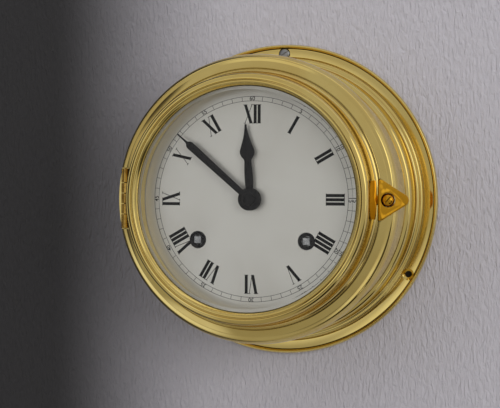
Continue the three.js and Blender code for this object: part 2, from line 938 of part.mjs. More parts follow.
// Plate of the catch tab, or the slot for it when it is drawn larger
function catchTabPlate(play, from, to) {
  const base = bezelRadius - tabRoot - play;
  const tipCentre = bezelRadius + tabReach - tabTipRadius;
  const edge = base + tabRoot;
  const flank = edge + tabFlankStart;
  const shape = new THREE.Shape();
  shape.moveTo(base, -tabHalfBase - play);
  shape.lineTo(edge - 0.4, -tabHalfBase - play);
  shape.quadraticCurveTo(edge + 1.6, -tabHalfBase + 0.6 - play, flank, -tabFlankHalf - play);
  shape.absarc(tipCentre, 0, tabTipRadius + play, -Math.PI / 3, Math.PI / 3, false);
  shape.lineTo(flank, tabFlankHalf + play);
  shape.quadraticCurveTo(edge + 1.6, tabHalfBase - 0.6 + play, edge - 0.4, tabHalfBase + play);
  shape.lineTo(base, tabHalfBase + play);
  return plate(shape, from, to);
}

// Triangular catch tab of the door, with the hole that snaps over the ball
function catchTab() {
  const hole = rod(
    ballRadius + ballHolePlay,
    bezelFoot - 1,
    bezelFoot + tabThickness + 1,
    discSides,
    new THREE.Vector2(ballX, 0),
  );
  return cut(catchTabPlate(0, bezelFoot, bezelFoot + tabThickness), hole);
}

// Front glass with its bevelled edge
function frontGlass() {
  return turned([
    [0, glassBack],
    [glassRadius, glassBack],
    [glassRadius, glassFront - glassBevelDepth],
    [glassRadius - glassBevelWidth, glassFront],
    [0, glassFront],
  ]);
}

// Ring that stands behind the glass and reaches down to the dial
function glassRing() {
  return tube(
    glassRadius - glassRingWall,
    glassRadius,
    dialFace + glassRingToDial,
    glassBack - gap,
    ringSides,
  );
}

// Dial plate with its feet
function dialPlate() {
  const disc = rod(dialRadius, dialBack, dialFace, ringSides);
  const feet = dialFeet.map(([x, y]) =>
    rod(dialFootRadius, frontPlateFront + gap, dialBack + 0.2, pivotSides, new THREE.Vector2(x, y)),
  );
  const holes = [
    rod(dialCentreHole, dialBack - 1, dialFace + 1, discSides),
    rod(bushRadius + gap, dialBack - 1, dialFace + 1, discSides, time),
    rod(bushRadius + gap, dialBack - 1, dialFace + 1, discSides, strikeSide),
    ...[0, 1, 2].map((i) =>
      rod(smallScrewRadius + gap, dialBack - 1, dialFace + 1, pivotSides, dialScrewPlace(i)),
    ),
  ];
  return cut(joined(disc, ...feet), ...holes);
}

// Cheese-head screw of the dial
function dialScrew() {
  const under = dialFace + gap;
  const body = joined(
    rod(smallScrewHeadRadius, under, under + smallScrewHeadHeight, pivotSides),
    rod(smallScrewRadius, ledgeBottom, under + 0.2, pivotSides),
  );
  return cut(body, screwSlot(smallScrewHeadRadius + 1, under + smallScrewHeadHeight, 0.35));
}

// Bush that lines a winding hole of the dial
function windingBush() {
  return tube(bushBore, bushRadius, dialBack, dialFace + bushProud);
}

// Hand blade between the hub and its tip, joined to its hub disc
function hand(half, boreRadius, back) {
  const blade = plate(mirroredOutline(half), back, back + handThickness);
  const hub = rod(handHubRadius, back, back + handThickness, discSides);
  const bore = rod(boreRadius, back - 1, back + handThickness + 1, discSides);
  return cut(joined(blade, hub), bore);
}

// Minute hand: a blade that widens slowly and ends in a needle
function minuteHand() {
  const shoulder = minuteHandLength - minuteNeedleLength;
  const half = [
    [minuteHandHalfWidth - 0.6, handHubRadius - 1],
    [minuteHandHalfWidth, shoulder],
    [minuteHandHalfWidth - 0.2, shoulder + 1.2],
    [handTipHalfWidth + 0.2, shoulder + 2.4],
    [handTipHalfWidth, minuteHandLength],
  ];
  return hand(half, cannonTip + gap, minuteHandBack);
}

// Hour hand: a stem, a round bulb and a needle
function hourHand() {
  const bulb = hourHandLength - hourBulbToTip;
  const half = [
    [hourStemHalfWidth, handHubRadius - 1],
    [hourStemHalfWidth - 0.2, bulb - 5],
    [hourBulbHalfWidth - 0.7, bulb - 2.4],
    [hourBulbHalfWidth, bulb],
    [hourBulbHalfWidth - 0.6, bulb + 2.1],
    [hourBulbHalfWidth - 1.7, bulb + 5.3],
    [handTipHalfWidth + 0.9, bulb + 8.7],
    [handTipHalfWidth, hourHandLength],
  ];
  return hand(half, hourPipe + gap, hourHandBack);
}

// Domed nut that keeps the minute hand on
function handNut() {
  const base = minuteHandBack + handThickness + gap;
  const top = base + handNutHeight;
  return turned(
    [
      [cannonTip + gap, base],
      [handNutRadius, base],
      [handNutRadius, base + handNutHeight * 0.45],
      [handNutRadius * 0.75, top - 0.3],
      [0, top],
      [0, top - 0.6],
      [cannonTip + gap, top - 0.6],
    ],
    discSides,
  );
}

// Cannon pinion, whose pipe carries the minute hand
function cannonPinion() {
  const shoulder = minuteHandBack - gap;
  const tip = minuteHandBack + handThickness + gap + handNutHeight - 0.9;
  const leaves = pinion(
    cannonLeaves,
    motionModule,
    bearing(centre, minuteStud),
    motionLevel - 0.2,
    motionLevel + wheelThickness + 0.2,
  );
  const pipe = joined(
    rod(cannonPipe, motionLevel - 0.2, shoulder, rodSides),
    rod(cannonTip, shoulder - 0.2, tip, rodSides),
  );
  return cut(joined(leaves, pipe), rod(cannonBore, motionLevel - 1, tip + 1, rodSides));
}

// Module of the second motion pair, set by the distance of the first
function hourModule() {
  return (2 * motionDistance) / (minutePinionLeaves + hourWheelTeeth);
}

// Minute wheel with the pinion that drives the hour wheel
function minuteWheel() {
  const body = joined(
    wheel(
      minuteWheelTeeth,
      motionModule,
      bearing(minuteStud, centre),
      motionLevel,
      motionLevel + wheelThickness,
    ),
    pinion(
      minutePinionLeaves,
      hourModule(),
      bearing(minuteStud, centre),
      motionLevel + wheelThickness - 0.1,
      hourLevel + wheelThickness + 0.3,
    ),
  );
  return cut(body, rod(pivotHole, motionLevel - 1, hourLevel + 4, pivotSides));
}

// Hour wheel, whose pipe carries the hour hand
function hourWheel() {
  const body = joined(
    wheel(hourWheelTeeth, hourModule(), bearing(centre, minuteStud), hourLevel, hourLevel + wheelThickness),
    rod(hourPipe, hourLevel, hourHandBack + handThickness, rodSides),
  );
  return cut(body, rod(hourBore, hourLevel - 1, hourHandBack + 2, rodSides));
}

// Sheet of a movement plate: a disc with four flats
function plateSheet(from, to) {
  const disc = rod(ledgeRadius - plateRoom, from, to, ringSides);
  return disc.intersect(block(-plateHalfWidth, plateHalfWidth, plateBottom, plateTop, from - 1, to + 1));
}

// Front plate with the stud of the minute wheel and those of the clicks
function frontPlate() {
  const sheet = plateSheet(frontPlateBack, frontPlateFront);
  const stud = rod(pivotRadius, frontPlateFront - 0.2, hourLevel + wheelThickness + 0.6, pivotSides, minuteStud);
  const clickStuds = [time, strikeSide].map((place) =>
    rod(
      pivotRadius,
      frontPlateFront - 0.2,
      frontPlateFront + ratchetThickness + 0.6,
      pivotSides,
      clickPlace(place),
    ),
  );
  const holes = [
    rod(cannonBore, frontPlateBack - 1, frontPlateFront + 1, pivotSides),
    ...[time, strikeSide].map((place) =>
      rod(windingArborRadius + gap, frontPlateBack - 1, frontPlateFront + 1, rodSides, place),
    ),
    ...[second, third, fourth, escape, strikeWheelPlace, fly, hammerPlace].map((place) =>
      rod(pivotHole, frontPlateBack - 1, frontPlateFront + 1, pivotSides, place),
    ),
    ...pillars.map(([x, y]) =>
      rod(
        pillarTipRadius + gap,
        frontPlateBack - 1,
        frontPlateFront + 1,
        pivotSides,
        new THREE.Vector2(x, y),
      ),
    ),
  ];
  return joined(cut(sheet, ...holes), stud, ...clickStuds);
}

// Back plate with its four riveted pillars
function backPlate() {
  const sheet = plateSheet(backPlateBack, backPlateFront);
  const posts = pillars.flatMap(([x, y]) => {
    const place = new THREE.Vector2(x, y);
    return [
      rod(pillarRadius, backPlateFront - 0.2, frontPlateBack - gap, pivotSides, place),
      rod(pillarTipRadius, frontPlateBack - 1, frontPlateFront + 0.2, pivotSides, place),
    ];
  });
  const holes = [
    rod(pivotHole, backPlateBack - 1, backPlateFront + 1, pivotSides),
    ...[time, strikeSide].map((place) =>
      rod(windingArborRadius - 0.7, backPlateBack - 1, backPlateFront + 1, rodSides, place),
    ),
    ...[second, third, fourth, strikeWheelPlace, fly].map((place) =>
      rod(pivotHole, backPlateBack - 1, backPlateFront + 1, pivotSides, place),
    ),
    ...[escape, hammerPlace].map((place) =>
      rod(arborRadius + pivotPlay, backPlateBack - 1, backPlateFront + 1, pivotSides, place),
    ),
    rod(bellScrewRadius + gap, backPlateBack - 1, backPlateFront + 1, rodSides, bellPlace),
  ];
  return cut(joined(sheet, ...posts), ...holes);
}

// Inner radius of a barrel's wall
function barrelInner() {
  return (barrelTeeth * barrelModule) / 2 - barrelWallInset - barrelWallThickness;
}

// Barrel with the great wheel cut on its rim, one tooth towards the pinion it drives
function barrel(place, pinionPlace) {
  const wheelBack = barrelTop - barrelWheelThickness;
  const inner = barrelInner();
  return cut(
    joined(
      wheel(barrelTeeth, barrelModule, bearing(place, pinionPlace), wheelBack, barrelTop),
      tube(inner, inner + barrelWallThickness, barrelBottom, wheelBack + 0.2),
    ),
    rod(windingArborRadius + pivotPlay, wheelBack - 1, barrelTop + 1, rodSides),
  );
}

// Cap that closes a barrel
function barrelCap() {
  const back = barrelBottom + gap;
  return tube(
    windingArborRadius + pivotPlay,
    barrelInner() - gap,
    back,
    back + barrelCapThickness,
  );
}

// Mainspring, wound half way between its arbor and the barrel's wall
function mainspring(name) {
  return spiral(
    name,
    springCoreRadius + gap + springThickness / 2,
    barrelInner() * Math.cos(Math.PI / discSides) - gap - springThickness / 2,
    springTurns,
    springThickness,
    barrelBottom + 2 * gap + barrelCapThickness,
    barrelTop - barrelWheelThickness - gap,
  );
}

// Winding arbor: pivot, core for the spring, pivot in the front plate and the square for the key
function windingArbor() {
  const coreBack = barrelBottom + 2 * gap + barrelCapThickness;
  const coreFront = barrelTop - barrelWheelThickness - gap;
  const squareBack = frontPlateFront + gap;
  const half = windingSquare / 2;
  return joined(
    rod(windingArborRadius - 0.7 - pivotPlay, pivotBack, backPlateFront + 1, rodSides),
    rod(windingArborRadius, backPlateFront + gap, squareBack, rodSides),
    rod(springCoreRadius, coreBack, coreFront, rodSides),
    block(-half, half, -half, half, squareBack - 0.2, windingTop),
  );
}

// Saw-toothed ratchet wheel on the square of a winding arbor
function ratchet() {
  const shape = new THREE.Shape();
  const root = ratchetRadius - ratchetDepth;
  const pitch = (2 * Math.PI) / ratchetTeeth;
  for (let i = 0; i < ratchetTeeth; i += 1) {
    const angle = i * pitch;
    if (i === 0) shape.moveTo(ratchetRadius, 0);
    else shape.lineTo(ratchetRadius * Math.cos(angle), ratchetRadius * Math.sin(angle));
    shape.lineTo(root * Math.cos(angle + pitch * 0.1), root * Math.sin(angle + pitch * 0.1));
  }
  const back = frontPlateFront + gap;
  const half = windingSquare / 2 + gap;
  const disc = plate(shape, back, back + ratchetThickness);
  return cut(disc, block(-half, half, -half, half, back - 1, back + ratchetThickness + 1));
}

// Bearing from a winding arbor to its click, in degrees
function clickBearing() {
  return 360 / ratchetTeeth + 10;
}

// Place of a click's stud beside its winding arbor
function clickPlace(place) {
  return polarPoint(place, clickDistance, clickBearing());
}

// Click that rests in the ratchet, drawn round its own stud
function click() {
  const pitch = 360 / ratchetTeeth;
  const stud = clickPlace(centre);
  const tip = polarPoint(centre, ratchetRadius - ratchetDepth * 0.6, pitch * 0.2).sub(stud);
  const across = new THREE.Vector2(-tip.y, tip.x).setLength(clickRadius * 0.6);
  const back = frontPlateFront + gap;
  const finger = outline([
    [across.x, across.y],
    [tip.x, tip.y],
    [-across.x, -across.y],
  ]);
  return cut(
    joined(plate(finger, back, back + ratchetThickness), rod(clickRadius, back, back + ratchetThickness)),
    rod(pivotHole, back - 1, back + ratchetThickness + 1, pivotSides),
  );
}

// Second wheel of the going train, driven by the barrel
function secondWheel() {
  return joined(
    pinion(
      secondPinionLeaves,
      barrelModule,
      bearing(second, time),
      barrelTop - barrelWheelThickness - 0.6,
      barrelTop + 0.6,
    ),
    wheel(secondTeeth, secondModule, bearing(second, centre), firstLevel, firstLevel + wheelThickness),
    arbor(firstLevel, barrelTop),
  );
}

// Centre wheel, whose arbor carries the cannon pinion
function centreWheel() {
  return joined(
    pinion(
      centrePinionLeaves,
      secondModule,
      bearing(centre, second),
      firstLevel - 0.4,
      firstLevel + wheelThickness + 0.8,
    ),
    wheel(
      centreTeeth,
      centreModule,
      bearing(centre, third),
      centreLevel,
      centreLevel + wheelThickness,
    ),
    rod(arborRadius, firstLevel, minuteHandBack, pivotSides),
    rod(pivotRadius, pivotBack, firstLevel + 1, pivotSides),
  );
}

// Third wheel of the going train
function thirdWheel() {
  return joined(
    pinion(
      thirdPinionLeaves,
      centreModule,
      bearing(third, centre),
      centreLevel - 0.6,
      centreLevel + wheelThickness + 0.6,
    ),
    wheel(thirdTeeth, thirdModule, bearing(third, fourth), thirdLevel, thirdLevel + wheelThickness),
    arbor(centreLevel, thirdLevel + 2),
  );
}

// Fourth wheel, which turns once a minute
function fourthWheel() {
  return joined(
    pinion(
      fourthPinionLeaves,
      thirdModule,
      bearing(fourth, third),
      thirdLevel - 0.6,
      thirdLevel + wheelThickness + 0.6,
    ),
    wheel(fourthTeeth, fourthModule, bearing(fourth, escape), fourthLevel, fourthLevel + wheelThickness),
    arbor(thirdLevel, fourthLevel + 2),
  );
}

// Escape wheel behind the platform, on a long arbor with its pinion
function escapeWheel() {
  const shape = new THREE.Shape();
  for (let i = 0; i < escapeTeeth; i += 1) {
    const angle = (i * 2 * Math.PI) / escapeTeeth;
    const lean = (0.7 * 2 * Math.PI) / escapeTeeth;
    if (i === 0) shape.moveTo(escapeRadius, 0);
    else shape.lineTo(escapeRadius * Math.cos(angle), escapeRadius * Math.sin(angle));
    const root = escapeRadius - 1.3;
    shape.lineTo(root * Math.cos(angle + lean), root * Math.sin(angle + lean));
  }
  return joined(
    plate(shape, escapeLevel, escapeLevel + 0.6),
    pinion(
      escapePinionLeaves,
      fourthModule,
      bearing(escape, fourth),
      fourthLevel - 0.6,
      fourthLevel + wheelThickness + 0.6,
    ),
    rod(pivotRadius, escapeLevel - 0.8, pivotFront, pivotSides),
  );
}

// Pallet lever, drawn round its own staff with its fork towards the balance
function palletLever() {
  const reach = 3.4;
  const nearWheel = palletDistance - escapeRadius - 0.7;
  const forkEnd = palletToBalance - 2.4;
  const anchor = outline([
    [-nearWheel, reach],
    [-nearWheel - 0.1, reach - 1],
    [-0.9, -0.0],
    [-nearWheel - 0.1, -reach + 1],
    [-nearWheel, -reach],
    [0.9, -1],
    [forkEnd - 1.6, -0.5],
    [forkEnd, -1.2],
    [forkEnd, -0.6],
    [forkEnd - 0.8, 0],
    [forkEnd, 0.6],
    [forkEnd, 1.2],
    [forkEnd - 1.6, 0.5],
    [0.9, 1],
  ]);
  return joined(
    plate(anchor, escapeLevel, escapeLevel + 0.6),
    rod(1.2, escapeLevel, escapeLevel + 0.6, pivotSides),
    rod(pivotRadius * 0.75, escapeLevel - 0.6, platformFront - gap, pivotSides),
  ).rotate([0, 0, platformAngle]);
}

// Balance wheel with its two arms, staff and roller
function balanceWheel() {
  const top = balanceLevel + 1;
  return joined(
    tube(balanceRadius - balanceRim, balanceRadius, balanceLevel, top),
    block(-balanceRadius + 0.5, balanceRadius - 0.5, -0.7, 0.7, balanceLevel + 0.2, top - 0.2),
    rod(1.6, escapeLevel - 0.2, escapeLevel + 0.8, pivotSides),
    rod(pivotRadius * 0.75, cockBack + gap, platformFront - gap, pivotSides),
  );
}

// Balance spring, whose outer end is held by the cock
function balanceSpring() {
  return spiral(
    "balance spring",
    pivotRadius * 0.75 + 1,
    balanceSpringRadius,
    balanceSpringTurns,
    balanceSpringThickness,
    balanceSpringLevel,
    balanceSpringLevel + balanceSpringHeight,
  );
}

// Platform that carries the escapement on the back plate
function platformPlate() {
  const sheet = plate(stadium(escape, cockFoot, platformWidth / 2), platformBack, platformFront, 8);
  return cut(
    sheet,
    ...[
      [escape, pivotHole],
      [pallet, pivotRadius * 0.75 + pivotPlay],
      [balance, pivotRadius * 0.75 + pivotPlay],
    ].map(([place, radius]) => rod(radius, platformBack - 1, platformFront + 1, pivotSides, place)),
  );
}

// Cock that bridges the balance, with its foot on the platform
function balanceCock() {
  const arm = plate(stadium(balance, cockFoot, 2.6), cockBack, cockBack + cockThickness, 5);
  const foot = rod(2.2, cockBack + 0.2, platformBack - gap, pivotSides, cockFoot);
  const bore = rod(
    pivotRadius * 0.75 + pivotPlay,
    cockBack - 1,
    cockBack + cockThickness + 1,
    pivotSides,
    balance,
  );
  return cut(joined(arm, foot), bore);
}

// Strike wheel with the pins that lift the hammer
function strikeWheel() {
  const front = firstLevel + wheelThickness;
  const pins = Array.from({ length: strikePins }, (_, i) =>
    rod(
      strikePinRadius,
      front - 0.2,
      front + strikePinLength,
      6,
      polarPoint(centre, strikePinCircle, (i * 360) / strikePins),
    ),
  );
  return joined(
    pinion(
      strikePinionLeaves,
      barrelModule,
      bearing(strikeWheelPlace, strikeSide),
      barrelTop - barrelWheelThickness - 0.6,
      barrelTop + 0.6,
    ),
    wheel(strikeTeeth, strikeModule, bearing(strikeWheelPlace, fly), firstLevel, front),
    ...pins,
    arbor(firstLevel, barrelTop),
  );
}

// Fly that brakes the strike, with its pinion
function flyVane() {
  const vaneBack = firstLevel + 6;
  return joined(
    pinion(
      flyPinionLeaves,
      strikeModule,
      bearing(fly, strikeWheelPlace),
      firstLevel - 0.5,
      firstLevel + wheelThickness + 0.6,
    ),
    block(-flyHalfWidth, flyHalfWidth, -0.35, 0.35, vaneBack, vaneBack + flyHeight),
    arbor(firstLevel, vaneBack + flyHeight + 1),
  );
}

// Hammer: arbor with its tail by the pins, arm and head beside the bell, drawn round its arbor
function hammer() {
  const headX = bellPlace.x - bellRadius - hammerToBell - hammerHeadLength - hammerPlace.x;
  const headY = bellPlace.y - hammerPlace.y;
  const headZ = bellMouth - 4.5;
  const head = rod(hammerHeadRadius, 0, hammerHeadLength, rodSides)
    .rotate([0, 90, 0])
    .translate([headX, headY, headZ]);
  const headMiddle = new THREE.Vector2(headX + hammerHeadLength / 2, headY);
  const arm = plate(stadium(centre, headMiddle, 1.5), headZ + 1.2, headZ + 2.7, 3);
  const tailLength = hammerPlace.distanceTo(strikeWheelPlace) - strikePinCircle - strikePinRadius - gap;
  const tailEnd = strikeWheelPlace.clone().sub(hammerPlace).setLength(tailLength - 0.8);
  const tailBack = firstLevel + wheelThickness + 0.5;
  const tail = plate(stadium(centre, tailEnd, 0.8), tailBack, tailBack + 1.2, 3);
  return joined(
    head,
    arm,
    tail,
    rod(arborRadius, headZ + 1.2, frontPlateBack - gap, pivotSides),
    rod(pivotRadius, frontPlateBack - 1, pivotFront, pivotSides),
  );
}

// Bell with its mouth towards the movement
function bell() {
  const bore = bellScrewRadius + gap;
  const shoulder = bellCrown + bellRadius * 0.4;
  return turned(
    [
      [bore, bellCrown],
      ...arc(bellRadius * 0.45, shoulder, bellRadius * 0.55, bellCrown - shoulder, 90, 0, 3),
      [bellRadius, bellMouth],
      [bellRadius - bellWall, bellMouth],
      ...arc(
        bellRadius * 0.45,
        shoulder,
        bellRadius * 0.55 - bellWall,
        bellCrown + bellWall - shoulder,
        0,
        90,
        3,
      ),
      [bore, bellCrown + bellWall],
    ],
    bellSides,
  );
}

// Post that carries the bell on the back plate
function bellPost() {
  const seat = bellCrown + bellWall + gap;
  return joined(
    rod(bellPostRadius, seat, backPlateBack - gap, rodSides),
    rod(bellScrewRadius, bellNutStandoff + gap, backPlateFront - gap, rodSides),
  );
}

// Six-sided nut under the bell's crown
function bellNut() {
  return cut(
    rod(bellScrewRadius + 2.5, bellNutStandoff, bellNutStandoff + bellNutHeight, 6),
    rod(bellScrewRadius + gap, bellNutStandoff - 1, bellNutStandoff + bellNutHeight + 1, rodSides),
  );
}

// Pieces that stay on the wall
function buildCase() {
  const group = new THREE.Group();
  addPiece(group, "case_drum", caseDrum(), polishedBrass);
  addPiece(group, "case_front_ring", caseFrontRing(), polishedBrass);
  addPiece(group, "back_cover", backCover(), wornBrass);
  for (let i = 0; i < 3; i += 1) {
    addPiece(group, `back_cover_screw_${i + 1}`, coverScrew(), screwSteel, coverScrewPlace(i));
  }
  addPiece(group, "wall_screw", wallScrew(), screwSteel, wallHolePlace(0));
  addPiece(group, "hinge_case_leaf", hingeCaseLeaf(), polishedBrass);
  addPiece(group, "hinge_pin", hingePin(), polishedBrass);
  addPiece(group, "catch_stud", catchStud(), polishedBrass, new THREE.Vector2(ballX, 0));
  return group;
}

// Dial, its screws and the bushes of the winding holes
function buildDial() {
  const group = new THREE.Group();
  addPiece(group, "dial_plate", dialPlate(), silveredDial);
  for (let i = 0; i < 3; i += 1) {
    addPiece(group, `dial_screw_${i + 1}`, dialScrew(), wornBrass, dialScrewPlace(i));
  }
  addPiece(group, "time_winding_bush", windingBush(), blackPaint, time);
  addPiece(group, "strike_winding_bush", windingBush(), blackPaint, strikeSide);
  return group;
}

// Door, in a group that turns about the hinge pin
function buildDoor() {
  const group = new THREE.Group();
  group.position.set(hingeX, 0, hingeZ);
  const pieces = [
    ["bezel_ring", bezelRing(), polishedBrass],
    ["front_glass", frontGlass(), clearGlass],
    ["glass_ring", glassRing(), satinBrass],
    ["catch_tab", catchTab(), polishedBrass],
    ["hinge_bezel_leaf", hingeBezelLeaf(), polishedBrass],
  ];
  for (const [name, solid, finish] of pieces) {
    const mesh = addPiece(group, name, solid, finish);
    mesh.position.set(-hingeX, 0, -hingeZ);
  }
  return group;
}

// Hands and the wheels behind the dial that turn them
function buildHands() {
  const group = new THREE.Group();
  const minute = addPiece(group, "minute_hand", minuteHand(), blackPaint);
  minute.rotation.z = -THREE.MathUtils.degToRad(minuteHandAngle);
  const hour = addPiece(group, "hour_hand", hourHand(), blackPaint);
  hour.rotation.z = -THREE.MathUtils.degToRad(hourHandAngle);
  addPiece(group, "hand_nut", handNut(), blackPaint);
  addPiece(group, "cannon_pinion", cannonPinion(), bluedSteel);
  addPiece(group, "minute_wheel", minuteWheel(), satinBrass, minuteStud);
  addPiece(group, "hour_wheel", hourWheel(), satinBrass);
  return group;
}

// One side's barrel, mainspring, winding arbor, ratchet and click
function buildWinding(side, place, pinionPlace) {
  const group = new THREE.Group();
  group.position.set(place.x, place.y, 0);
  addPiece(group, `${side}_barrel`, barrel(place, pinionPlace), satinBrass);
  addPiece(group, `${side}_barrel_cap`, barrelCap(), satinBrass);
  addPiece(group, `${side}_mainspring`, mainspring(`${side} mainspring`), bluedSteel);
  addPiece(group, `${side}_winding_arbor`, windingArbor(), screwSteel);
  addPiece(group, `${side}_ratchet`, ratchet(), screwSteel);
  addPiece(group, `${side}_click`, click(), screwSteel, clickPlace(centre));
  return group;
}

// Plates, going train and platform escapement
function buildMovement() {
  const group = new THREE.Group();
  addPiece(group, "front_plate", frontPlate(), satinBrass);
  addPiece(group, "back_plate", backPlate(), satinBrass);
  group.add(buildWinding("time", time, second));
  group.add(buildWinding("strike", strikeSide, strikeWheelPlace));
  addPiece(group, "second_wheel", secondWheel(), satinBrass, second);
  addPiece(group, "centre_wheel", centreWheel(), satinBrass);
  addPiece(group, "third_wheel", thirdWheel(), satinBrass, third);
  addPiece(group, "fourth_wheel", fourthWheel(), satinBrass, fourth);
  addPiece(group, "escape_wheel", escapeWheel(), screwSteel, escape);
  addPiece(group, "pallet_lever", palletLever(), screwSteel, pallet);
  addPiece(group, "balance_wheel", balanceWheel(), satinBrass, balance);
  addPiece(group, "balance_spring", balanceSpring(), bluedSteel, balance);
  addPiece(group, "platform_plate", platformPlate(), satinBrass);
  addPiece(group, "balance_cock", balanceCock(), satinBrass);
  return group;
}

// Strike wheel, fly, hammer and bell
function buildStrike() {
  const group = new THREE.Group();
  addPiece(group, "strike_wheel", strikeWheel(), satinBrass, strikeWheelPlace);
  addPiece(group, "fly", flyVane(), satinBrass, fly);
  addPiece(group, "hammer", hammer(), satinBrass, hammerPlace);
  addPiece(group, "bell", bell(), satinBrass, bellPlace);
  addPiece(group, "bell_post", bellPost(), screwSteel, bellPlace);
  addPiece(group, "bell_nut", bellNut(), satinBrass, bellPlace);
  return group;
}

const clock = new THREE.Group();
clock.rotation.x = Math.PI / 2;
clock.add(buildCase(), buildDial(), buildDoor(), buildHands(), buildMovement(), buildStrike());

export default clock;
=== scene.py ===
"""Ship's bell clock that hangs on a wall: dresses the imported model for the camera.

Blender works in metres, with x to the right of the dial, z up and the wall at y = 0. The forms below are
drawn in millimetres in the clock's own view: x to the right, y up and z out of the wall. A profile is a
list of (radius, height above the wall) points that is spun round the clock's axis.
"""

import json
import logging
import math
from collections.abc import Iterable, Sequence
from dataclasses import dataclass
from enum import Enum

import bmesh
import bpy
from mathutils import Matrix, Quaternion, Vector


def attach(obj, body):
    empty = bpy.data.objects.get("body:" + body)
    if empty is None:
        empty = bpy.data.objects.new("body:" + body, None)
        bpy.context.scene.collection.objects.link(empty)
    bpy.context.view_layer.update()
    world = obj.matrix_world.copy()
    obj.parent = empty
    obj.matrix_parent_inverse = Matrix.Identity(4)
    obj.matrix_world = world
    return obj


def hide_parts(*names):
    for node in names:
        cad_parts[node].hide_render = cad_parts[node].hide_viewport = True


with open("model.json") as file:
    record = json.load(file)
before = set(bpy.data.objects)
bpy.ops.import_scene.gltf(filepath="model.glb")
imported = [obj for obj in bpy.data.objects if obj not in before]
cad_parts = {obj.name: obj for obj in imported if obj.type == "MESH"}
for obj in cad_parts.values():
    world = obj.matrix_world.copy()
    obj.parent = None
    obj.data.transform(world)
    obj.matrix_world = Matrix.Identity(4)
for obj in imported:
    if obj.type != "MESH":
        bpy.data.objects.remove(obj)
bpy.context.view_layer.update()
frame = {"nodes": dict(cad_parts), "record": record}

MM = 0.001
RING_STEPS = 256
ROD_STEPS = 40
SCREW_HOLES = 3
CATCH_X = 73.5
TO_WORLD = Matrix(((MM, 0, 0, 0), (0, 0, -MM, 0), (0, MM, 0, 0), (0, 0, 0, 1)))

Point = tuple[float, float]
Place = tuple[float, float, float]
Colour = tuple[float, float, float]
Form = bmesh.types.BMesh
Socket = bpy.types.NodeSocket
Outputs = bpy.types.NodeOutputs

log = logging.getLogger("clock")


# Node graphs


class Graph:
    """Adds nodes to one node tree and links them."""

    def __init__(self, tree: bpy.types.NodeTree) -> None:
        """Keeps the material's, world's or group's tree that the nodes go into."""
        self.tree = tree

    def feed(self, node: bpy.types.Node, inputs: dict) -> None:
        """Feeds a node's inputs.

        Args:
            node: the node.
            inputs: numbers, colours, vectors or output sockets, by the input's name or number.
        """
        for key, value in inputs.items():
            socket = node.inputs[key]
            if isinstance(value, Socket):
                self.tree.links.new(value, socket)
            else:
                socket.default_value = (*value, 1) if socket.type == "RGBA" else value

    def add(self, kind: str, inputs: dict | None = None, **settings: object) -> bpy.types.Node:
        """Adds a node.

        Args:
            kind: the node's type name.
            inputs: what its inputs are fed.
            **settings: the node's own properties.

        Returns:
            The new node.
        """
        node = self.tree.nodes.new(kind)
        for name, value in settings.items():
            setattr(node, name, value)
        self.feed(node, inputs or {})
        return node

    def math(self, operation: str, *values: object) -> Socket:
        """Adds a Math node, such as MULTIPLY, and gives its result."""
        return self.add("ShaderNodeMath", dict(enumerate(values)), operation=operation).outputs[0]

    def vector(self, operation: str, *values: object) -> Outputs:
        """Adds a Vector Math node, such as LENGTH, and gives its outputs."""
        return self.add("ShaderNodeVectorMath", dict(enumerate(values)), operation=operation).outputs

    def split(self, vector: Socket) -> Outputs:
        """Gives the x, y and z of a vector."""
        return self.add("ShaderNodeSeparateXYZ", {0: vector}).outputs

    def join(self, *axes: object) -> Socket:
        """Makes a vector from its x, y and z."""
        return self.add("ShaderNodeCombineXYZ", dict(enumerate(axes))).outputs[0]

    def ramp(self, value: Socket, low: float, high: float, to_low: float = 0.0, to_high: float = 1.0) -> Socket:
        """Maps a value smoothly from one range to another."""
        inputs = {"Value": value, "From Min": low, "From Max": high, "To Min": to_low, "To Max": to_high}
        return self.add("ShaderNodeMapRange", inputs, interpolation_type="SMOOTHSTEP").outputs[0]

    def blend(self, factor: Socket, first: object, second: object) -> Socket:
        """Mixes two colours or colour sockets: a factor of 0 gives the first and 1 the second."""
        return self.add("ShaderNodeMix", {0: factor, 6: first, 7: second}, data_type="RGBA").outputs[2]

    def noise(self, vector: Socket, scale: object, detail: float, **inputs: object) -> Socket:
        """Adds a noise texture, four-dimensional where it is given a W, and gives its value."""
        inputs |= {"Vector": vector, "Scale": scale, "Detail": detail}
        return self.add("ShaderNodeTexNoise", inputs, noise_dimensions="4D" if "W" in inputs else "3D").outputs["Fac"]

    def bump(self, height: Socket, strength: object, distance: float) -> Socket:
        """Adds a Bump node and gives its normal."""
        return self.add("ShaderNodeBump", {"Height": height, "Strength": strength, "Distance": distance}).outputs[0]

    def group(self, tree: bpy.types.NodeTree, **inputs: object) -> Outputs:
        """Places a shared group, with what its inputs are fed, and gives its outputs."""
        return self.add("ShaderNodeGroup", inputs, node_tree=tree).outputs

    def see_through(self, shader: bpy.types.Node, clear_part: Socket, tint: Colour = (1, 1, 1)) -> None:
        """Makes a material clear in part.

        Args:
            shader: the shader of the rest.
            clear_part: how much is clear, 0 to 1.
            tint: colour of what shows through.
        """
        clear = self.add("ShaderNodeBsdfTransparent", {0: tint})
        mix = self.add("ShaderNodeMixShader", {0: clear_part, 1: shader.outputs[0], 2: clear.outputs[0]})
        self.feed(self.tree.nodes["Material Output"], {0: mix.outputs[0]})


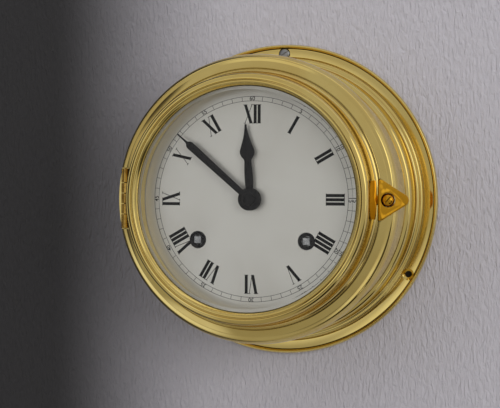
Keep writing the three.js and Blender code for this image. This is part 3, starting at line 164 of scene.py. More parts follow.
def new_group(name: str, inputs: Sequence[str], outputs: Sequence[str]) -> tuple[Graph, Outputs]:
    """Starts a shader node group, whose Vector and Normal sockets are vectors and all others numbers.

    Args:
        name: the group's name.
        inputs: names of its inputs.
        outputs: names of its outputs.

    Returns:
        The group's graph and what comes into it.
    """
    tree = bpy.data.node_groups.new(name, "ShaderNodeTree")
    for in_out, sockets in (("INPUT", inputs), ("OUTPUT", outputs)):
        for socket in sockets:
            kind = "NodeSocketVector" if socket in ("Vector", "Normal") else "NodeSocketFloat"
            tree.interface.new_socket(name=socket, in_out=in_out, socket_type=kind)
    graph = Graph(tree)
    return graph, graph.add("NodeGroupInput").outputs


def new_material(name: str) -> tuple[bpy.types.Material, Graph, bpy.types.Node, Socket]:
    """Starts a material.

    Args:
        name: the material's name.

    Returns:
        The material, its graph, its shader and the object's coordinates.
    """
    material = bpy.data.materials.new(name)
    material.use_nodes = True
    graph = Graph(material.node_tree)
    vector = graph.add("ShaderNodeTexCoord").outputs["Object"]
    return material, graph, graph.tree.nodes["Principled BSDF"], vector


class Marks(Enum):
    """Tool marks that a metal finish shows."""

    TURNED = "turned_rings"
    BRUSHED = "straight_grain"


class Effects:
    """Surface effects that several finishes share, each a node group built once."""

    mark_height: float = 0.0001
    mark_detail: float = 3.0
    mark_roughness: float = 0.6
    grain_stretch: Place = (0.03, 1.0, 1.0)
    cloud_edges: Point = (0.35, 0.7)
    speck_fineness: float = 30.0
    speck_edges: Point = (0.55, 0.75)
    crease_edges: Point = (0.35, 0.8)
    crease_samples: int = 8

    def __init__(self) -> None:
        """Builds the groups."""
        self.marks = {marks: self._marks(marks) for marks in Marks}
        self.tarnish = self._tarnish()
        self.creases = self._creases()

    def _marks(self, marks: Marks) -> bpy.types.NodeTree:
        """Fine rings round the clock's axis, as a polishing wheel or a lathe leaves them, or grain along x.

        Args:
            marks: which of the two.

        Returns:
            The group, with a mask and a normal.
        """
        graph, source = new_group(marks.value, ("Vector", "Lines", "Depth"), ("Mask", "Normal"))
        lines = source["Lines"]
        if marks is Marks.TURNED:
            x, along, z = graph.split(source["Vector"])
            flat = graph.join(x, 0, z)
            radius = graph.vector("LENGTH", flat)["Value"]
            side, _, rise = graph.split(graph.vector("NORMALIZE", flat)[0])
            place = graph.join(graph.math("MULTIPLY", radius, lines), graph.math("MULTIPLY", along, lines), side)
            noise = graph.noise(place, 1.0, self.mark_detail, Roughness=self.mark_roughness, W=rise)
        else:
            place = graph.vector("MULTIPLY", source["Vector"], self.grain_stretch)[0]
            noise = graph.noise(place, lines, self.mark_detail, Roughness=self.mark_roughness)
        normal = graph.bump(noise, source["Depth"], self.mark_height)
        graph.add("NodeGroupOutput", {"Mask": noise, "Normal": normal})
        return graph.tree

    def _tarnish(self) -> bpy.types.NodeTree:
        """Broad cloudy patches with small specks in them.

        Returns:
            The group, with a cloud mask and a speck mask.
        """
        graph, source = new_group("tarnish", ("Vector", "Size"), ("Cloud", "Specks"))
        cloud = graph.noise(source["Vector"], source["Size"], 4.0, Roughness=0.55, Distortion=0.4)
        fine = graph.noise(source["Vector"], graph.math("MULTIPLY", source["Size"], self.speck_fineness), 2.0)
        masks = {"Cloud": graph.ramp(cloud, *self.cloud_edges), "Specks": graph.ramp(fine, *self.speck_edges)}
        graph.add("NodeGroupOutput", masks)
        return graph.tree

    def _creases(self) -> bpy.types.NodeTree:
        """Narrow hollows found by ambient occlusion: painted shade, together with tarnish where polish never reaches.

        Returns:
            The group, with a mask.
        """
        graph, source = new_group("creases", ("Width",), ("Mask",))
        hollow = graph.add("ShaderNodeAmbientOcclusion", {"Distance": source["Width"]}, samples=self.crease_samples)
        graph.add("NodeGroupOutput", {"Mask": graph.ramp(hollow.outputs["AO"], *self.crease_edges, 1.0, 0.0)})
        return graph.tree


# Finishes


@dataclass(frozen=True)
class Metal:
    """Metal with tool marks, a little tarnish, uneven gloss, and painted shade with tarnish in its creases."""

    name: str
    colour: Colour
    shade: Colour
    smooth: float
    rough: float
    marks: Marks = Marks.TURNED
    lines: float = 4000.0
    depth: float = 0.05
    cloud_size: float = 25.0
    metallic: float = 1.0
    crease_width: float = 0.0
    # Colour of the painted shade, mixed with tarnish, in the creases.
    grime: Colour = (0.03, 0.017, 0.006)
    speck_wear: float = 0.6
    wear_in_gloss: float = 0.6
    marks_in_gloss: float = 0.4
    gloss_edges: Point = (0.1, 0.9)

    def material(self, effects: Effects) -> bpy.types.Material:
        """Builds the material.

        Args:
            effects: the shared groups.

        Returns:
            The material.
        """
        material, graph, shader, vector = new_material(self.name)
        marks = graph.group(effects.marks[self.marks], Vector=vector, Lines=self.lines, Depth=self.depth)
        tarnish = graph.group(effects.tarnish, Vector=vector, Size=self.cloud_size)
        worn = graph.math("MAXIMUM", tarnish["Cloud"], graph.math("MULTIPLY", tarnish["Specks"], self.speck_wear))
        colour = graph.blend(worn, self.colour, self.shade)
        # Painted shade mixed with tarnish: the colour darkens in creases that ambient occlusion finds.
        if self.crease_width:
            occluded = graph.group(effects.creases, Width=self.crease_width)["Mask"]
            colour = graph.blend(occluded, colour, self.grime)
        from_wear = graph.math("MULTIPLY", worn, self.wear_in_gloss)
        uneven = graph.math("ADD", from_wear, graph.math("MULTIPLY", marks["Mask"], self.marks_in_gloss))
        graph.feed(shader, {
            "Base Color": colour,
            "Roughness": graph.ramp(uneven, *self.gloss_edges, self.smooth, self.rough),
            "Normal": marks["Normal"],
            "Metallic": self.metallic,
        })
        return material


@dataclass(frozen=True)
class Paint:
    """Paint or printed ink with a faint orange-peel surface and dust."""

    name: str
    colour: Colour
    dust: Colour
    gloss: float
    gloss_change: float = 0.12
    dust_size: float = 60.0
    dust_cover: float = 0.5
    peel: float = 0.1
    peel_scale: float = 2500.0
    peel_height: float = 0.00005
    shine: float = 0.06

    def material(self, effects: Effects) -> bpy.types.Material:
        """Builds the material.

        Args:
            effects: the shared groups.

        Returns:
            The material.
        """
        material, graph, shader, vector = new_material(self.name)
        tarnish = graph.group(effects.tarnish, Vector=vector, Size=self.dust_size)
        dusty = graph.math("MULTIPLY", tarnish["Specks"], self.dust_cover)
        peel = graph.noise(vector, self.peel_scale, 2.0)
        graph.feed(shader, {
            "Base Color": graph.blend(dusty, self.colour, self.dust),
            "Roughness": graph.ramp(tarnish["Cloud"], 0, 1, self.gloss, self.gloss + self.gloss_change),
            "Normal": graph.bump(peel, self.peel, self.peel_height),
            "Specular IOR Level": self.shine,
        })
        return material


@dataclass(frozen=True)
class Glass:
    """Clear plate glass with a few faint smears, open to lamp light."""

    name: str
    tint: Colour
    refraction: float = 1.27
    smear_size: float = 35.0
    smear_roughness: float = 0.03

    def material(self, effects: Effects) -> bpy.types.Material:
        """Builds the material.

        Args:
            effects: the shared groups.

        Returns:
            The material.
        """
        material, graph, shader, vector = new_material(self.name)
        smears = graph.group(effects.tarnish, Vector=vector, Size=self.smear_size)["Cloud"]
        graph.feed(shader, {
            "Base Color": self.tint,
            "Transmission Weight": 1.0,
            "IOR": self.refraction,
            "Roughness": graph.ramp(smears, 0, 1, 0.0, self.smear_roughness),
        })
        path = graph.add("ShaderNodeLightPath").outputs
        through = graph.math("MAXIMUM", path["Is Shadow Ray"], path["Is Diffuse Ray"])
        graph.see_through(shader, through, self.tint)
        return material


@dataclass(frozen=True)
class Plaster:
    """Embossed wall covering or floor of the studio, seen through from behind.

    It is darker to the left of the clock where its shade is under 1, a painted shade for light falling off across the
    wall.
    """

    name: str
    colour: Colour
    ribs: float
    relief: float
    shade: float = 1.0
    rib_stretch: Place = (1.0, 1.0, 0.3)
    rib_height: float = 0.0014
    hollow_tone: float = 0.88
    shade_edges: Point = (-0.15, -0.02)
    roughness: float = 0.75

    def material(self) -> bpy.types.Material:
        """Builds the material.

        Returns:
            The material.
        """
        material, graph, shader, vector = new_material(self.name)
        ribs = graph.noise(graph.vector("MULTIPLY", vector, self.rib_stretch)[0], self.ribs, 3.0, Distortion=0.6)
        # Painted shade: the colour is darker in the hollows of the embossed relief.
        paper = graph.blend(ribs, tuple(self.hollow_tone * c for c in self.colour), self.colour)
        # Painted shade: the colour is scaled down towards the left of the clock.
        lit = graph.ramp(graph.split(vector)[0], *self.shade_edges, self.shade)
        tone = graph.add("ShaderNodeVectorMath", {0: paper, "Scale": lit}, operation="SCALE").outputs[0]
        normal = graph.bump(ribs, self.relief, self.rib_height)
        graph.feed(shader, {"Base Color": tone, "Normal": normal, "Roughness": self.roughness})
        graph.see_through(shader, graph.add("ShaderNodeNewGeometry").outputs["Backfacing"])
        return material


POLISHED_BRASS = Metal(
    "polished_brass", colour=(0.86, 0.68, 0.25), shade=(0.8, 0.6, 0.2), smooth=0.04, rough=0.1,
    depth=0.03, crease_width=0.0015,
)
AMBER_BRASS = Metal(
    "amber_brass", colour=(0.8, 0.42, 0.03), shade=(0.68, 0.33, 0.02), smooth=0.06, rough=0.14,
    depth=0.03, crease_width=0.0008,
)
SATIN_BRASS = Metal(
    "satin_brass", colour=(0.72, 0.53, 0.22), shade=(0.6, 0.42, 0.16), smooth=0.25, rough=0.4,
    marks=Marks.BRUSHED, lines=900.0, depth=0.15, cloud_size=60.0,
)
WORN_BRASS = Metal(
    "worn_brass", colour=(0.66, 0.42, 0.1), shade=(0.36, 0.2, 0.045), smooth=0.14, rough=0.34,
    marks=Marks.BRUSHED, lines=1500.0, depth=0.1, cloud_size=220.0, crease_width=0.0008,
)
SILVERED_DIAL = Metal(
    "silvered_dial", colour=(0.7, 0.69, 0.66), shade=(0.67, 0.655, 0.62), smooth=0.3, rough=0.38,
    lines=2600.0, depth=0.07, cloud_size=22.0, metallic=0.75,
)
SCREW_STEEL = Metal(
    "screw_steel", colour=(0.5, 0.51, 0.53), shade=(0.36, 0.37, 0.4), smooth=0.22, rough=0.42,
    marks=Marks.BRUSHED, lines=1800.0, depth=0.2, cloud_size=260.0,
)
BLUED_STEEL = Metal(
    "blued_steel", colour=(0.06, 0.09, 0.2), shade=(0.1, 0.07, 0.12), smooth=0.15, rough=0.3,
    marks=Marks.BRUSHED, lines=1800.0, depth=0.1, cloud_size=160.0,
)
BLACK_PAINT = Paint("black_paint", colour=(0.004, 0.004, 0.005), dust=(0.02, 0.02, 0.021), gloss=0.28)
PRINTING_INK = Paint("printing_ink", colour=(0.003, 0.003, 0.004), dust=(0.012, 0.012, 0.013), gloss=0.45)
CLEAR_GLASS = Glass("clear_glass", tint=(0.985, 0.99, 0.985))
FINISHES = (
    POLISHED_BRASS, SATIN_BRASS, WORN_BRASS, SILVERED_DIAL, BLACK_PAINT, SCREW_STEEL, BLUED_STEEL, CLEAR_GLASS,
    AMBER_BRASS, PRINTING_INK,
)
WALL_PAPER = Plaster("wall_paper", colour=(0.46, 0.445, 0.485), ribs=640.0, relief=1.0, shade=0.05)
# Painted shade: near-black discs stand for the dark inside of the drilled holes.
HOLE_SHADE = Plaster("painted_hole_shade", colour=(0.015, 0.013, 0.012), ribs=900.0, relief=0.3)
FLOOR_BOARD = Plaster("floor_board", colour=(0.5, 0.48, 0.45), ribs=30.0, relief=0.1)


# Forms, in millimetres in the clock's own view


def arc(radius: float, height: float, reach: float, rise: float, start: float, stop: float, steps: int) -> list[Point]:
    """Points of an ellipse round (radius, height), from start to stop in degrees, both ends included."""
    angles = [math.radians(start + (stop - start) * i / steps) for i in range(steps + 1)]
    return [(radius + reach * math.cos(a), height + rise * math.sin(a)) for a in angles]


def rectangle(x: Point, y: Point) -> list[Point]:
    """Corners of a rectangle between two values on each axis."""
    return [(x[0], y[0]), (x[1], y[0]), (x[1], y[1]), (x[0], y[1])]


def around(count: int, radius: float, first: float) -> list[Point]:
    """Places evenly spaced round the axis, the first at a bearing in degrees, anticlockwise from the right."""
    angles = [math.radians(first + i * 360 / count) for i in range(count)]
    return [(radius * math.cos(a), radius * math.sin(a)) for a in angles]


def smooth_curve(points: Sequence[Point], steps: int) -> list[Point]:
    """Smooth line through given points.

    Args:
        points: the points in order.
        steps: pieces between two of them.

    Returns:
        The points of the line.
    """
    line = []
    ends = [points[0], *points, points[-1]]
    for a, b, c, d in zip(ends, ends[1:], ends[2:], ends[3:]):
        for i in range(steps):
            t = i / steps
            line.append(tuple(
                0.5 * (2 * q + (r - p) * t + (2 * p - 5 * q + 4 * r - s) * t * t + (3 * q - p - 3 * r + s) * t**3)
                for p, q, r, s in zip(a, b, c, d)
            ))
    return [*line, points[-1]]


def clean(form: Form) -> Form:
    """Merges doubled corners, turns the faces out and puts them in an order that is the same each run.

    Args:
        form: the form to clean.

    Returns:
        The same form.
    """
    bmesh.ops.remove_doubles(form, verts=form.verts, dist=1e-4)
    bmesh.ops.recalc_face_normals(form, faces=form.faces)
    form.verts.index_update()
    for i, face in enumerate(sorted(form.faces, key=lambda face: sorted(vert.index for vert in face.verts))):
        face.index = i
    form.faces.sort()
    return form


def spun(profile: Sequence[Point], steps: int = RING_STEPS) -> Form:
    """Solid of a profile that is spun round the axis.

    Args:
        profile: points in order; its ends are joined unless they lie on the axis.
        steps: facets round the turn.

    Returns:
        The form.
    """
    form = bmesh.new()
    verts = [form.verts.new((radius, 0, height)) for radius, height in profile]
    edges = [form.edges.new(pair) for pair in zip(verts, verts[1:])]
    if profile[0][0] > 0 or profile[-1][0] > 0:
        edges.append(form.edges.new((verts[-1], verts[0])))
    bmesh.ops.spin(
        form, geom=verts + edges, cent=(0, 0, 0), axis=(0, 0, 1), angle=math.tau, steps=steps, use_merge=True,
    )
    return clean(form)


def rod(radius: float, back: float, front: float, steps: int = ROD_STEPS, tip: float | None = None) -> Form:
    """Round rod along the axis, or a cone.

    Args:
        radius: its radius at the back.
        back: height of its back end.
        front: height of its front end.
        steps: facets round it.
        tip: its radius at the front, if it differs.

    Returns:
        The form.
    """
    form = bmesh.new()
    bmesh.ops.create_cone(
        form, cap_ends=True, segments=steps, radius1=radius, radius2=radius if tip is None else tip,
        depth=front - back, matrix=Matrix.Translation((0, 0, (front + back) / 2)),
    )
    return form


def rods(places: Iterable[Point], radius: float, back: float, front: float, steps: int = ROD_STEPS) -> list[Form]:
    """Equal rods at several places."""
    return [shifted(rod(radius, back, front, steps), x, y) for x, y in places]


def block(x: Point, y: Point, z: Point) -> Form:
    """Block between two values on each axis.

    Args:
        x: left and right.
        y: bottom and top.
        z: back and front.

    Returns:
        The form.
    """
    form = bmesh.new()
    size = Matrix.Diagonal((x[1] - x[0], y[1] - y[0], z[1] - z[0], 1))
    middle = Matrix.Translation((sum(x) / 2, sum(y) / 2, sum(z) / 2))
    bmesh.ops.create_cube(form, size=1, matrix=middle @ size)
    return form


def prism(outline: Sequence[Point], back: float, front: float) -> Form:
    """Flat outline with a thickness.

    Args:
        outline: corners in order.
        back: height of its back face.
        front: height of its front face.

    Returns:
        The form.
    """
    form = bmesh.new()
    face = form.faces.new([form.verts.new((x, y, back)) for x, y in outline])
    grown = bmesh.ops.extrude_face_region(form, geom=[face])["geom"]
    lifted = [part for part in grown if isinstance(part, bmesh.types.BMVert)]
    bmesh.ops.translate(form, verts=lifted, vec=(0, 0, front - back))
    return clean(form)


def moved(form: Form, matrix: Matrix) -> Form:
    """Moves or turns a form by a matrix and gives it back."""
    bmesh.ops.transform(form, matrix=matrix, verts=form.verts)
    return form


def shifted(form: Form, x: float, y: float, z: float = 0.0) -> Form:
    """Moves a form along the three axes and gives it back."""
    return moved(form, Matrix.Translation((x, y, z)))


def turned(form: Form, degrees: float) -> Form:
    """Turns a form round the clock's axis, anticlockwise in degrees, and gives it back."""
    return moved(form, Matrix.Rotation(math.radians(degrees), 4, "Z"))


def softened(form: Form, width: float, angle: float, segments: int) -> Form:
    """Rounds the sharp edges of a form.

    Args:
        form: the form.
        width: width of the rounding.
        angle: least angle in degrees between two faces that counts as sharp.
        segments: facets across the rounding.

    Returns:
        The same form.
    """
    sharp = [edge for edge in form.edges if edge.is_manifold and edge.calc_face_angle() > math.radians(angle)]
    bmesh.ops.bevel(
        form, geom=sharp, offset=width, segments=segments, profile=0.5, affect="EDGES", material=-1, clamp_overlap=True,
    )
    return form


def as_mesh(form: Form, name: str) -> bpy.types.Mesh:
    """Makes a mesh of a form.

    Args:
        form: the form, which is freed.
        name: the mesh's name.

    Returns:
        The mesh.
    """
    mesh = bpy.data.meshes.new(name)
    form.to_mesh(mesh)
    form.free()
    return mesh


def as_object(name: str, data: bpy.types.ID) -> bpy.types.Object:
    """Makes an object in the scene.

    Args:
        name: its name.
        data: its mesh, lamp, camera or text.

    Returns:
        The object.
    """
    made = bpy.data.objects.new(name, data)
    bpy.context.collection.objects.link(made)
    return made


def gathered(forms: Iterable[Form]) -> Form:
    """Puts several forms into one.

    Args:
        forms: the forms, which are freed.

    Returns:
        The form that holds them all.
    """
    whole = bmesh.new()
    for form in forms:
        mesh = as_mesh(form, "part")
        whole.from_mesh(mesh)
        bpy.data.meshes.remove(mesh)
    return whole


def carved(form: Form, cutters: Iterable[Form]) -> Form:
    """Cuts forms out of another.

    Args:
        form: the form to cut, which is freed.
        cutters: closed forms, which are freed.

    Returns:
        What is left.
    """
    target, *tools = helpers = [as_object("cutter", as_mesh(part, "cutter")) for part in (form, *cutters)]
    for tool in tools:
        modifier = target.modifiers.new("cut", "BOOLEAN")
        modifier.operation = "DIFFERENCE"
        modifier.solver = "EXACT"
        modifier.object = tool
    bpy.context.view_layer.update()
    solved = target.evaluated_get(bpy.context.evaluated_depsgraph_get())
    result = bmesh.new()
    result.from_mesh(solved.to_mesh())
    solved.to_mesh_clear()
    for helper in helpers:
        mesh = helper.data
        bpy.data.objects.remove(helper)
        bpy.data.meshes.remove(mesh)
    return result


class Workshop:
    """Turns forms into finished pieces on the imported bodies."""

    def __init__(self) -> None:
        """Builds the finishes."""
        effects = Effects()
        self.materials = {finish.name: finish.material(effects) for finish in FINISHES}

    def piece(
        self,
        name: str,
        form: Form,
        finish: Metal | Paint | Glass,
        body: str,
        stands_for: Sequence[str] = (),
        slot: str | None = None,
        sharp: float = 35.0,
    ) -> None:
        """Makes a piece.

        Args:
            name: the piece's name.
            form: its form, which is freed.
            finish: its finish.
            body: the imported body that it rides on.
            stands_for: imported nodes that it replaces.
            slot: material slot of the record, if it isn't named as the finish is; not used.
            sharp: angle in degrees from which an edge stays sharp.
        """
        mesh = as_mesh(moved(form, TO_WORLD), name)
        mesh.polygons.foreach_set("use_smooth", [True] * len(mesh.polygons))
        mesh.set_sharp_from_angle(angle=math.radians(sharp))
        mesh.materials.append(self.materials[finish.name])
        piece = as_object(name, mesh)
        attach(piece, body)
        if stands_for:
            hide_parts(*stands_for)
        log.info("%s: %d faces on %s", name, len(mesh.polygons), body)


# Sub-assemblies


@dataclass
class WallCase:
    """Spun drum with its flange, turned front ring, back cover and the screws of both."""

    lip_radius: float = 66.3
    lip_back: float = 1.5
    lip_front: float = 2.7
    cover_radius: float = 70.3
    cover_thickness: float = 1.2
    cover_play: float = 0.3
    cover_screw_circle: float = 68.3
    cover_screw_head: float = 1.4
    sound_hole: float = 3.0
    sound_circle: float = 42.0
    flange_radius: float = 90.0
    flange_land: float = 4.2
    drum_radius: float = 75.2
    drum_inner: float = 73.7
    drum_top: float = 59.9
    ring_inner: float = 61.8
    ring_ledge: float = 69.6
    ring_top: float = 72.8
    screw_circle: float = 84.65
    screw_bore: float = 1.85
    screw_head: float = 3.1
    screw_shank: float = 1.75
    screw_length: float = 25.0
    screw_turn: float = 35.0

    def cover_screws(self) -> list[Point]:
        """Places of the back cover's screws."""
        return around(SCREW_HOLES, self.cover_screw_circle, 30)

    def drum(self) -> Form:
        """Spun drum: rear lip, flange with its two beads, cove, ridge and wall.

        Returns:
            The form, with its three wall holes.
        """
        seat, land = self.cover_radius + self.cover_play, self.flange_land
        wall, inside, top = self.drum_radius, self.drum_inner, self.drum_top
        profile = [
            # Rear lip, the cover's seat and the flange's back
            (self.lip_radius, self.lip_back), (seat, self.lip_back), (seat, 0.0), (88.5, 0.0),
            # Bead at the flange's rim and the narrow groove inside it
            *arc(self.flange_radius - 1.12, 3.8, 1.12, 2.3, -45, 178, 26),
            (87.74, 3.88), (87.66, 4.02), (87.52, 4.15), (87.3, 4.19),
            # Flat land with the screw holes
            (87.05, land), (83.0, land), (82.75, 4.19), (82.5, 4.13), (82.3, 4.0), (82.1, 4.1),
            # Inner bead, cove and ridge
            *arc(80.5, 6.5, 1.6, 1.6, -46, 100, 18),
            *arc(80.0, 21.5, -3.6, -13.4, 84, 0, 22),
            *arc(75.7, 24.0, 2.5, 2.5, -74, 74, 16),
            # Wall, outside and inside
            (75.4, 26.65), (wall, 27.0), (wall, top - 0.2), (wall - 0.2, top), (inside, top),
            (inside, self.lip_front), (self.lip_radius, self.lip_front),
        ]
        head = self.screw_head + 0.3
        cutters = []
        for x, y in around(SCREW_HOLES, self.screw_circle, 90):
            bore = rod(self.screw_bore, -1, 3.0)
            countersink = rod(self.screw_bore, 2.8, land + 0.02, tip=head)
            cutters += [shifted(form, x, y) for form in (bore, countersink, rod(head, land, 9.0))]
        cutters += rods(self.cover_screws(), 1.0, 0.5, 4.0, 16)
        return carved(spun(profile), cutters)

    def front_ring(self) -> Form:
        """Turned front ring: spigot, bead, sloping face and the ledge for the dial.

        Returns:
            The form, cut for the hinge and the catch.
        """
        top, ledge, inner = self.ring_top, self.ring_ledge, self.ring_inner
        profile = [
            # Spigot and bead
            (71.0, 56.0), (73.4, 56.0), (73.4, 60.2), (75.3, 60.2), *arc(75.0, 65.4, 3.0, 4.8, -70, 58, 26),
            # Step, narrow land and sloping face
            (76.65, 69.85), (76.55, 70.1), (75.5, 71.0), (75.35, 71.09), (75.1, 71.11), (73.8, 71.18),
            (73.55, 71.21), (73.3, 71.3), (70.4, 72.6),
            # Mouth and the ledge for the dial
            (70.0, top), (66.0, top), (66.0, 70.8), (inner, 70.8), (inner, ledge), (71.0, ledge),
        ]
        cutters = [
            # Room for the hinge's knuckles, its door leaf and its case leaf
            block((-79, -69.8), (-16.9, 16.9), (66.5, 73.8)),
            block((-72.6, -66.6), (-8.7, 8.7), (71.7, 73.8)),
            block((-72.6, -66.0), (-16.6, 16.6), (68.2, ledge)),
            # Seat and bore of the ball stud
            shifted(rod(3.6, 70.6, 74.0), CATCH_X, 0),
            shifted(rod(1.8, 62.6, 72.0, 20), CATCH_X, 0),
        ]
        return carved(spun(profile), cutters)

    def back_cover(self) -> Form:
        """Flat cover with rounded rims, six sound holes and three stepped screw holes.

        Returns:
            The form.
        """
        rim, front = self.cover_radius, self.cover_thickness
        profile = [(0, 0), (rim - 0.3, 0), (rim, 0.3), (rim, front - 0.2), (rim - 0.2, front), (0, front)]
        cutters = rods(around(6, self.sound_circle, 30), self.sound_hole, -1, 3)
        cutters += rods(self.cover_screws(), self.cover_screw_head + 0.35, -1, front - 0.1, 24)
        cutters += rods(self.cover_screws(), 1.0, 0.5, 3, 24)
        return carved(spun(profile, 128), cutters)

    def cover_screw(self) -> Form:
        """Flush slotted screw of the back cover, drawn on the axis.

        Returns:
            The form.
        """
        head = self.cover_screw_head
        profile = [(0, 0), (head - 0.15, 0), (head, 0.12), (head, 0.7), (0.7, 0.7), (0.7, 2.4), (0.5, 2.5), (0, 2.5)]
        return carved(spun(profile, 24), [block((-2, 2), (-0.3, 0.3), (-1, 0.35))])

    def wall_screw(self) -> Form:
        """Raised countersunk screw with a slot, drawn on the axis.

        Returns:
            The form.
        """
        head = self.flange_land + 0.15
        tip = head - self.screw_length
        rim, shank = self.screw_head - 0.15, self.screw_shank
        profile = [
            (0, tip), (0.4, tip + 0.8), (shank, tip + 4), (shank, head - 1.8), (rim, head - 0.15), (rim, head),
            *arc(0, head, rim - 0.05, 0.48, 5, 85, 8), (0, head + 0.5),
        ]
        slot = turned(block((-4, 4), (-0.35, 0.35), (head - 0.5, head + 2)), self.screw_turn)
        return carved(spun(profile, ROD_STEPS), [slot])

    def build(self, shop: Workshop) -> None:
        """Makes the pieces of the case.

        Args:
            shop: where they are made.
        """
        shop.piece("spun_drum", self.drum(), POLISHED_BRASS, "case", ["case_drum"])
        shop.piece("front_ring", self.front_ring(), POLISHED_BRASS, "case", ["case_front_ring"])
        shop.piece("rear_cover", self.back_cover(), SATIN_BRASS, "case", ["back_cover"])
        for i, (x, y) in enumerate(self.cover_screws(), 1):
            form = shifted(self.cover_screw(), x, y)
            shop.piece(f"cover_screw_{i}", form, SCREW_STEEL, "case", [f"back_cover_screw_{i}"])
        form = shifted(self.wall_screw(), 0, self.screw_circle)
        shop.piece("wood_screw", form, SCREW_STEEL, "case", ["wall_screw"])


@dataclass
class Door:
    """Glazed bezel: spun ring, bevelled glass, the ring behind it and the catch tab."""

    sight_radius: float = 59.1
    bezel_radius: float = 70.0
    foot: float = 73.1
    foot_inner: float = 66.0
    rebate_radius: float = 61.6
    rebate_front: float = 86.1
    glass_radius: float = 61.3
    glass_back: float = 83.7
    glass_front: float = 86.8
    bevel_width: float = 3.8
    bevel_depth: float = 2.2
    inner_ring_wall: float = 0.9
    inner_ring_ends: Point = (72.6, 83.4)
    tab_thickness: float = 1.6
    tab_half: float = 10.6
    tab_reach: float = 11.2
    tab_tip: float = 3.0
    tab_hole: float = 3.75

    def bezel(self) -> Form:
        """Spun bezel: foot, cove, bead, sight edge and the rebate for the glass.

        Returns:
            The form, with the slot for the tab.
        """
        outer, foot, sight = self.bezel_radius, self.foot, self.sight_radius
        profile = [
            # Foot and the narrow groove inside its rim
            (self.foot_inner, foot), (outer - 0.15, foot), (outer, foot + 0.15), (outer, 73.75), (69.85, 73.85),
            (69.65, 73.6), (69.4, 73.5), (69.15, 73.6), (69.0, 74.2), (68.8, 74.45),
            # Cove, bead and the smaller bead inside it
            *arc(68.9, 86.6, -3.0, -12.1, 84, 0, 26),
            *arc(63.0, 87.0, 2.85, 2.6, 0, 94, 22), (62.65, 89.3), (62.5, 89.0),
            *arc(61.5, 87.9, 1.0, 1.2, 50, 150, 12), (59.9, 87.8),
            # Sight edge
            (sight + 0.1, self.glass_front + 0.05), (sight, 86.6), (sight + 0.1, self.rebate_front),
            # Rebate for the glass and the hollow behind
            (self.rebate_radius, self.rebate_front), (self.rebate_radius, 79.0), (63.4, 78.6), (self.foot_inner, 76.0),
        ]
        return carved(spun(profile), [prism(self.tab_outline(0.3), foot - 1, foot + 1.9)])

    def glass(self) -> Form:
        """Front glass with its bevelled edge.

        Returns:
            The form.
        """
        rim, front = self.glass_radius, self.glass_front
        flat = rim - self.bevel_width
        back_edge = [(0, self.glass_back), (rim, self.glass_back), (rim, front - self.bevel_depth)]
        return spun([*back_edge, (flat + 0.1, front - 0.06), (flat, front), (0, front)], 192)

    def glass_ring(self) -> Form:
        """Ring behind the glass that hides the gap round the dial."""
        return spun(rectangle((self.glass_radius - self.inner_ring_wall, self.glass_radius), self.inner_ring_ends))

    def tab_outline(self, play: float = 0.0) -> list[Point]:
        """Outline of the catch tab, with a fillet at each end of its base and a round tip.

        Args:
            play: how much larger it is drawn all round.

        Returns:
            The corners in order.
        """
        base = self.bezel_radius - 1.6 - play
        half = self.tab_half + play
        corner = [(base + 1.2, -half), (base + 2.1, -half + 0.2), (base + 3.2, -half + 0.9), (base + 5.0, -8.4 - play)]
        fillet = smooth_curve(corner, 5)
        round_tip = self.tab_tip + play
        tip = arc(self.bezel_radius + self.tab_reach, 0, round_tip, round_tip, -60, 60, 16)
        return [(base, -half), *fillet, *tip, *[(x, -y) for x, y in reversed(fillet)], (base, half)]

    def tab(self) -> Form:
        """Catch tab with the hole that snaps over the ball.

        Returns:
            The form, with softened edges.
        """
        sheet = prism(self.tab_outline(), self.foot, self.foot + self.tab_thickness)
        hole = shifted(rod(self.tab_hole, self.foot - 1, self.foot + 3), CATCH_X, 0)
        return softened(carved(sheet, [hole]), 0.15, 50, 3)

    def build(self, shop: Workshop) -> None:
        """Makes the pieces of the door.

        Args:
            shop: where they are made.
        """
        shop.piece("spun_bezel", self.bezel(), POLISHED_BRASS, "door", ["bezel_ring"])
        shop.piece("bevelled_glass", self.glass(), CLEAR_GLASS, "door", ["front_glass"], sharp=15)
        shop.piece("inner_ring", self.glass_ring(), POLISHED_BRASS, "door", ["glass_ring"], "satin_brass")
        shop.piece("snap_tab", self.tab(), AMBER_BRASS, "door", ["catch_tab"], "polished_brass")


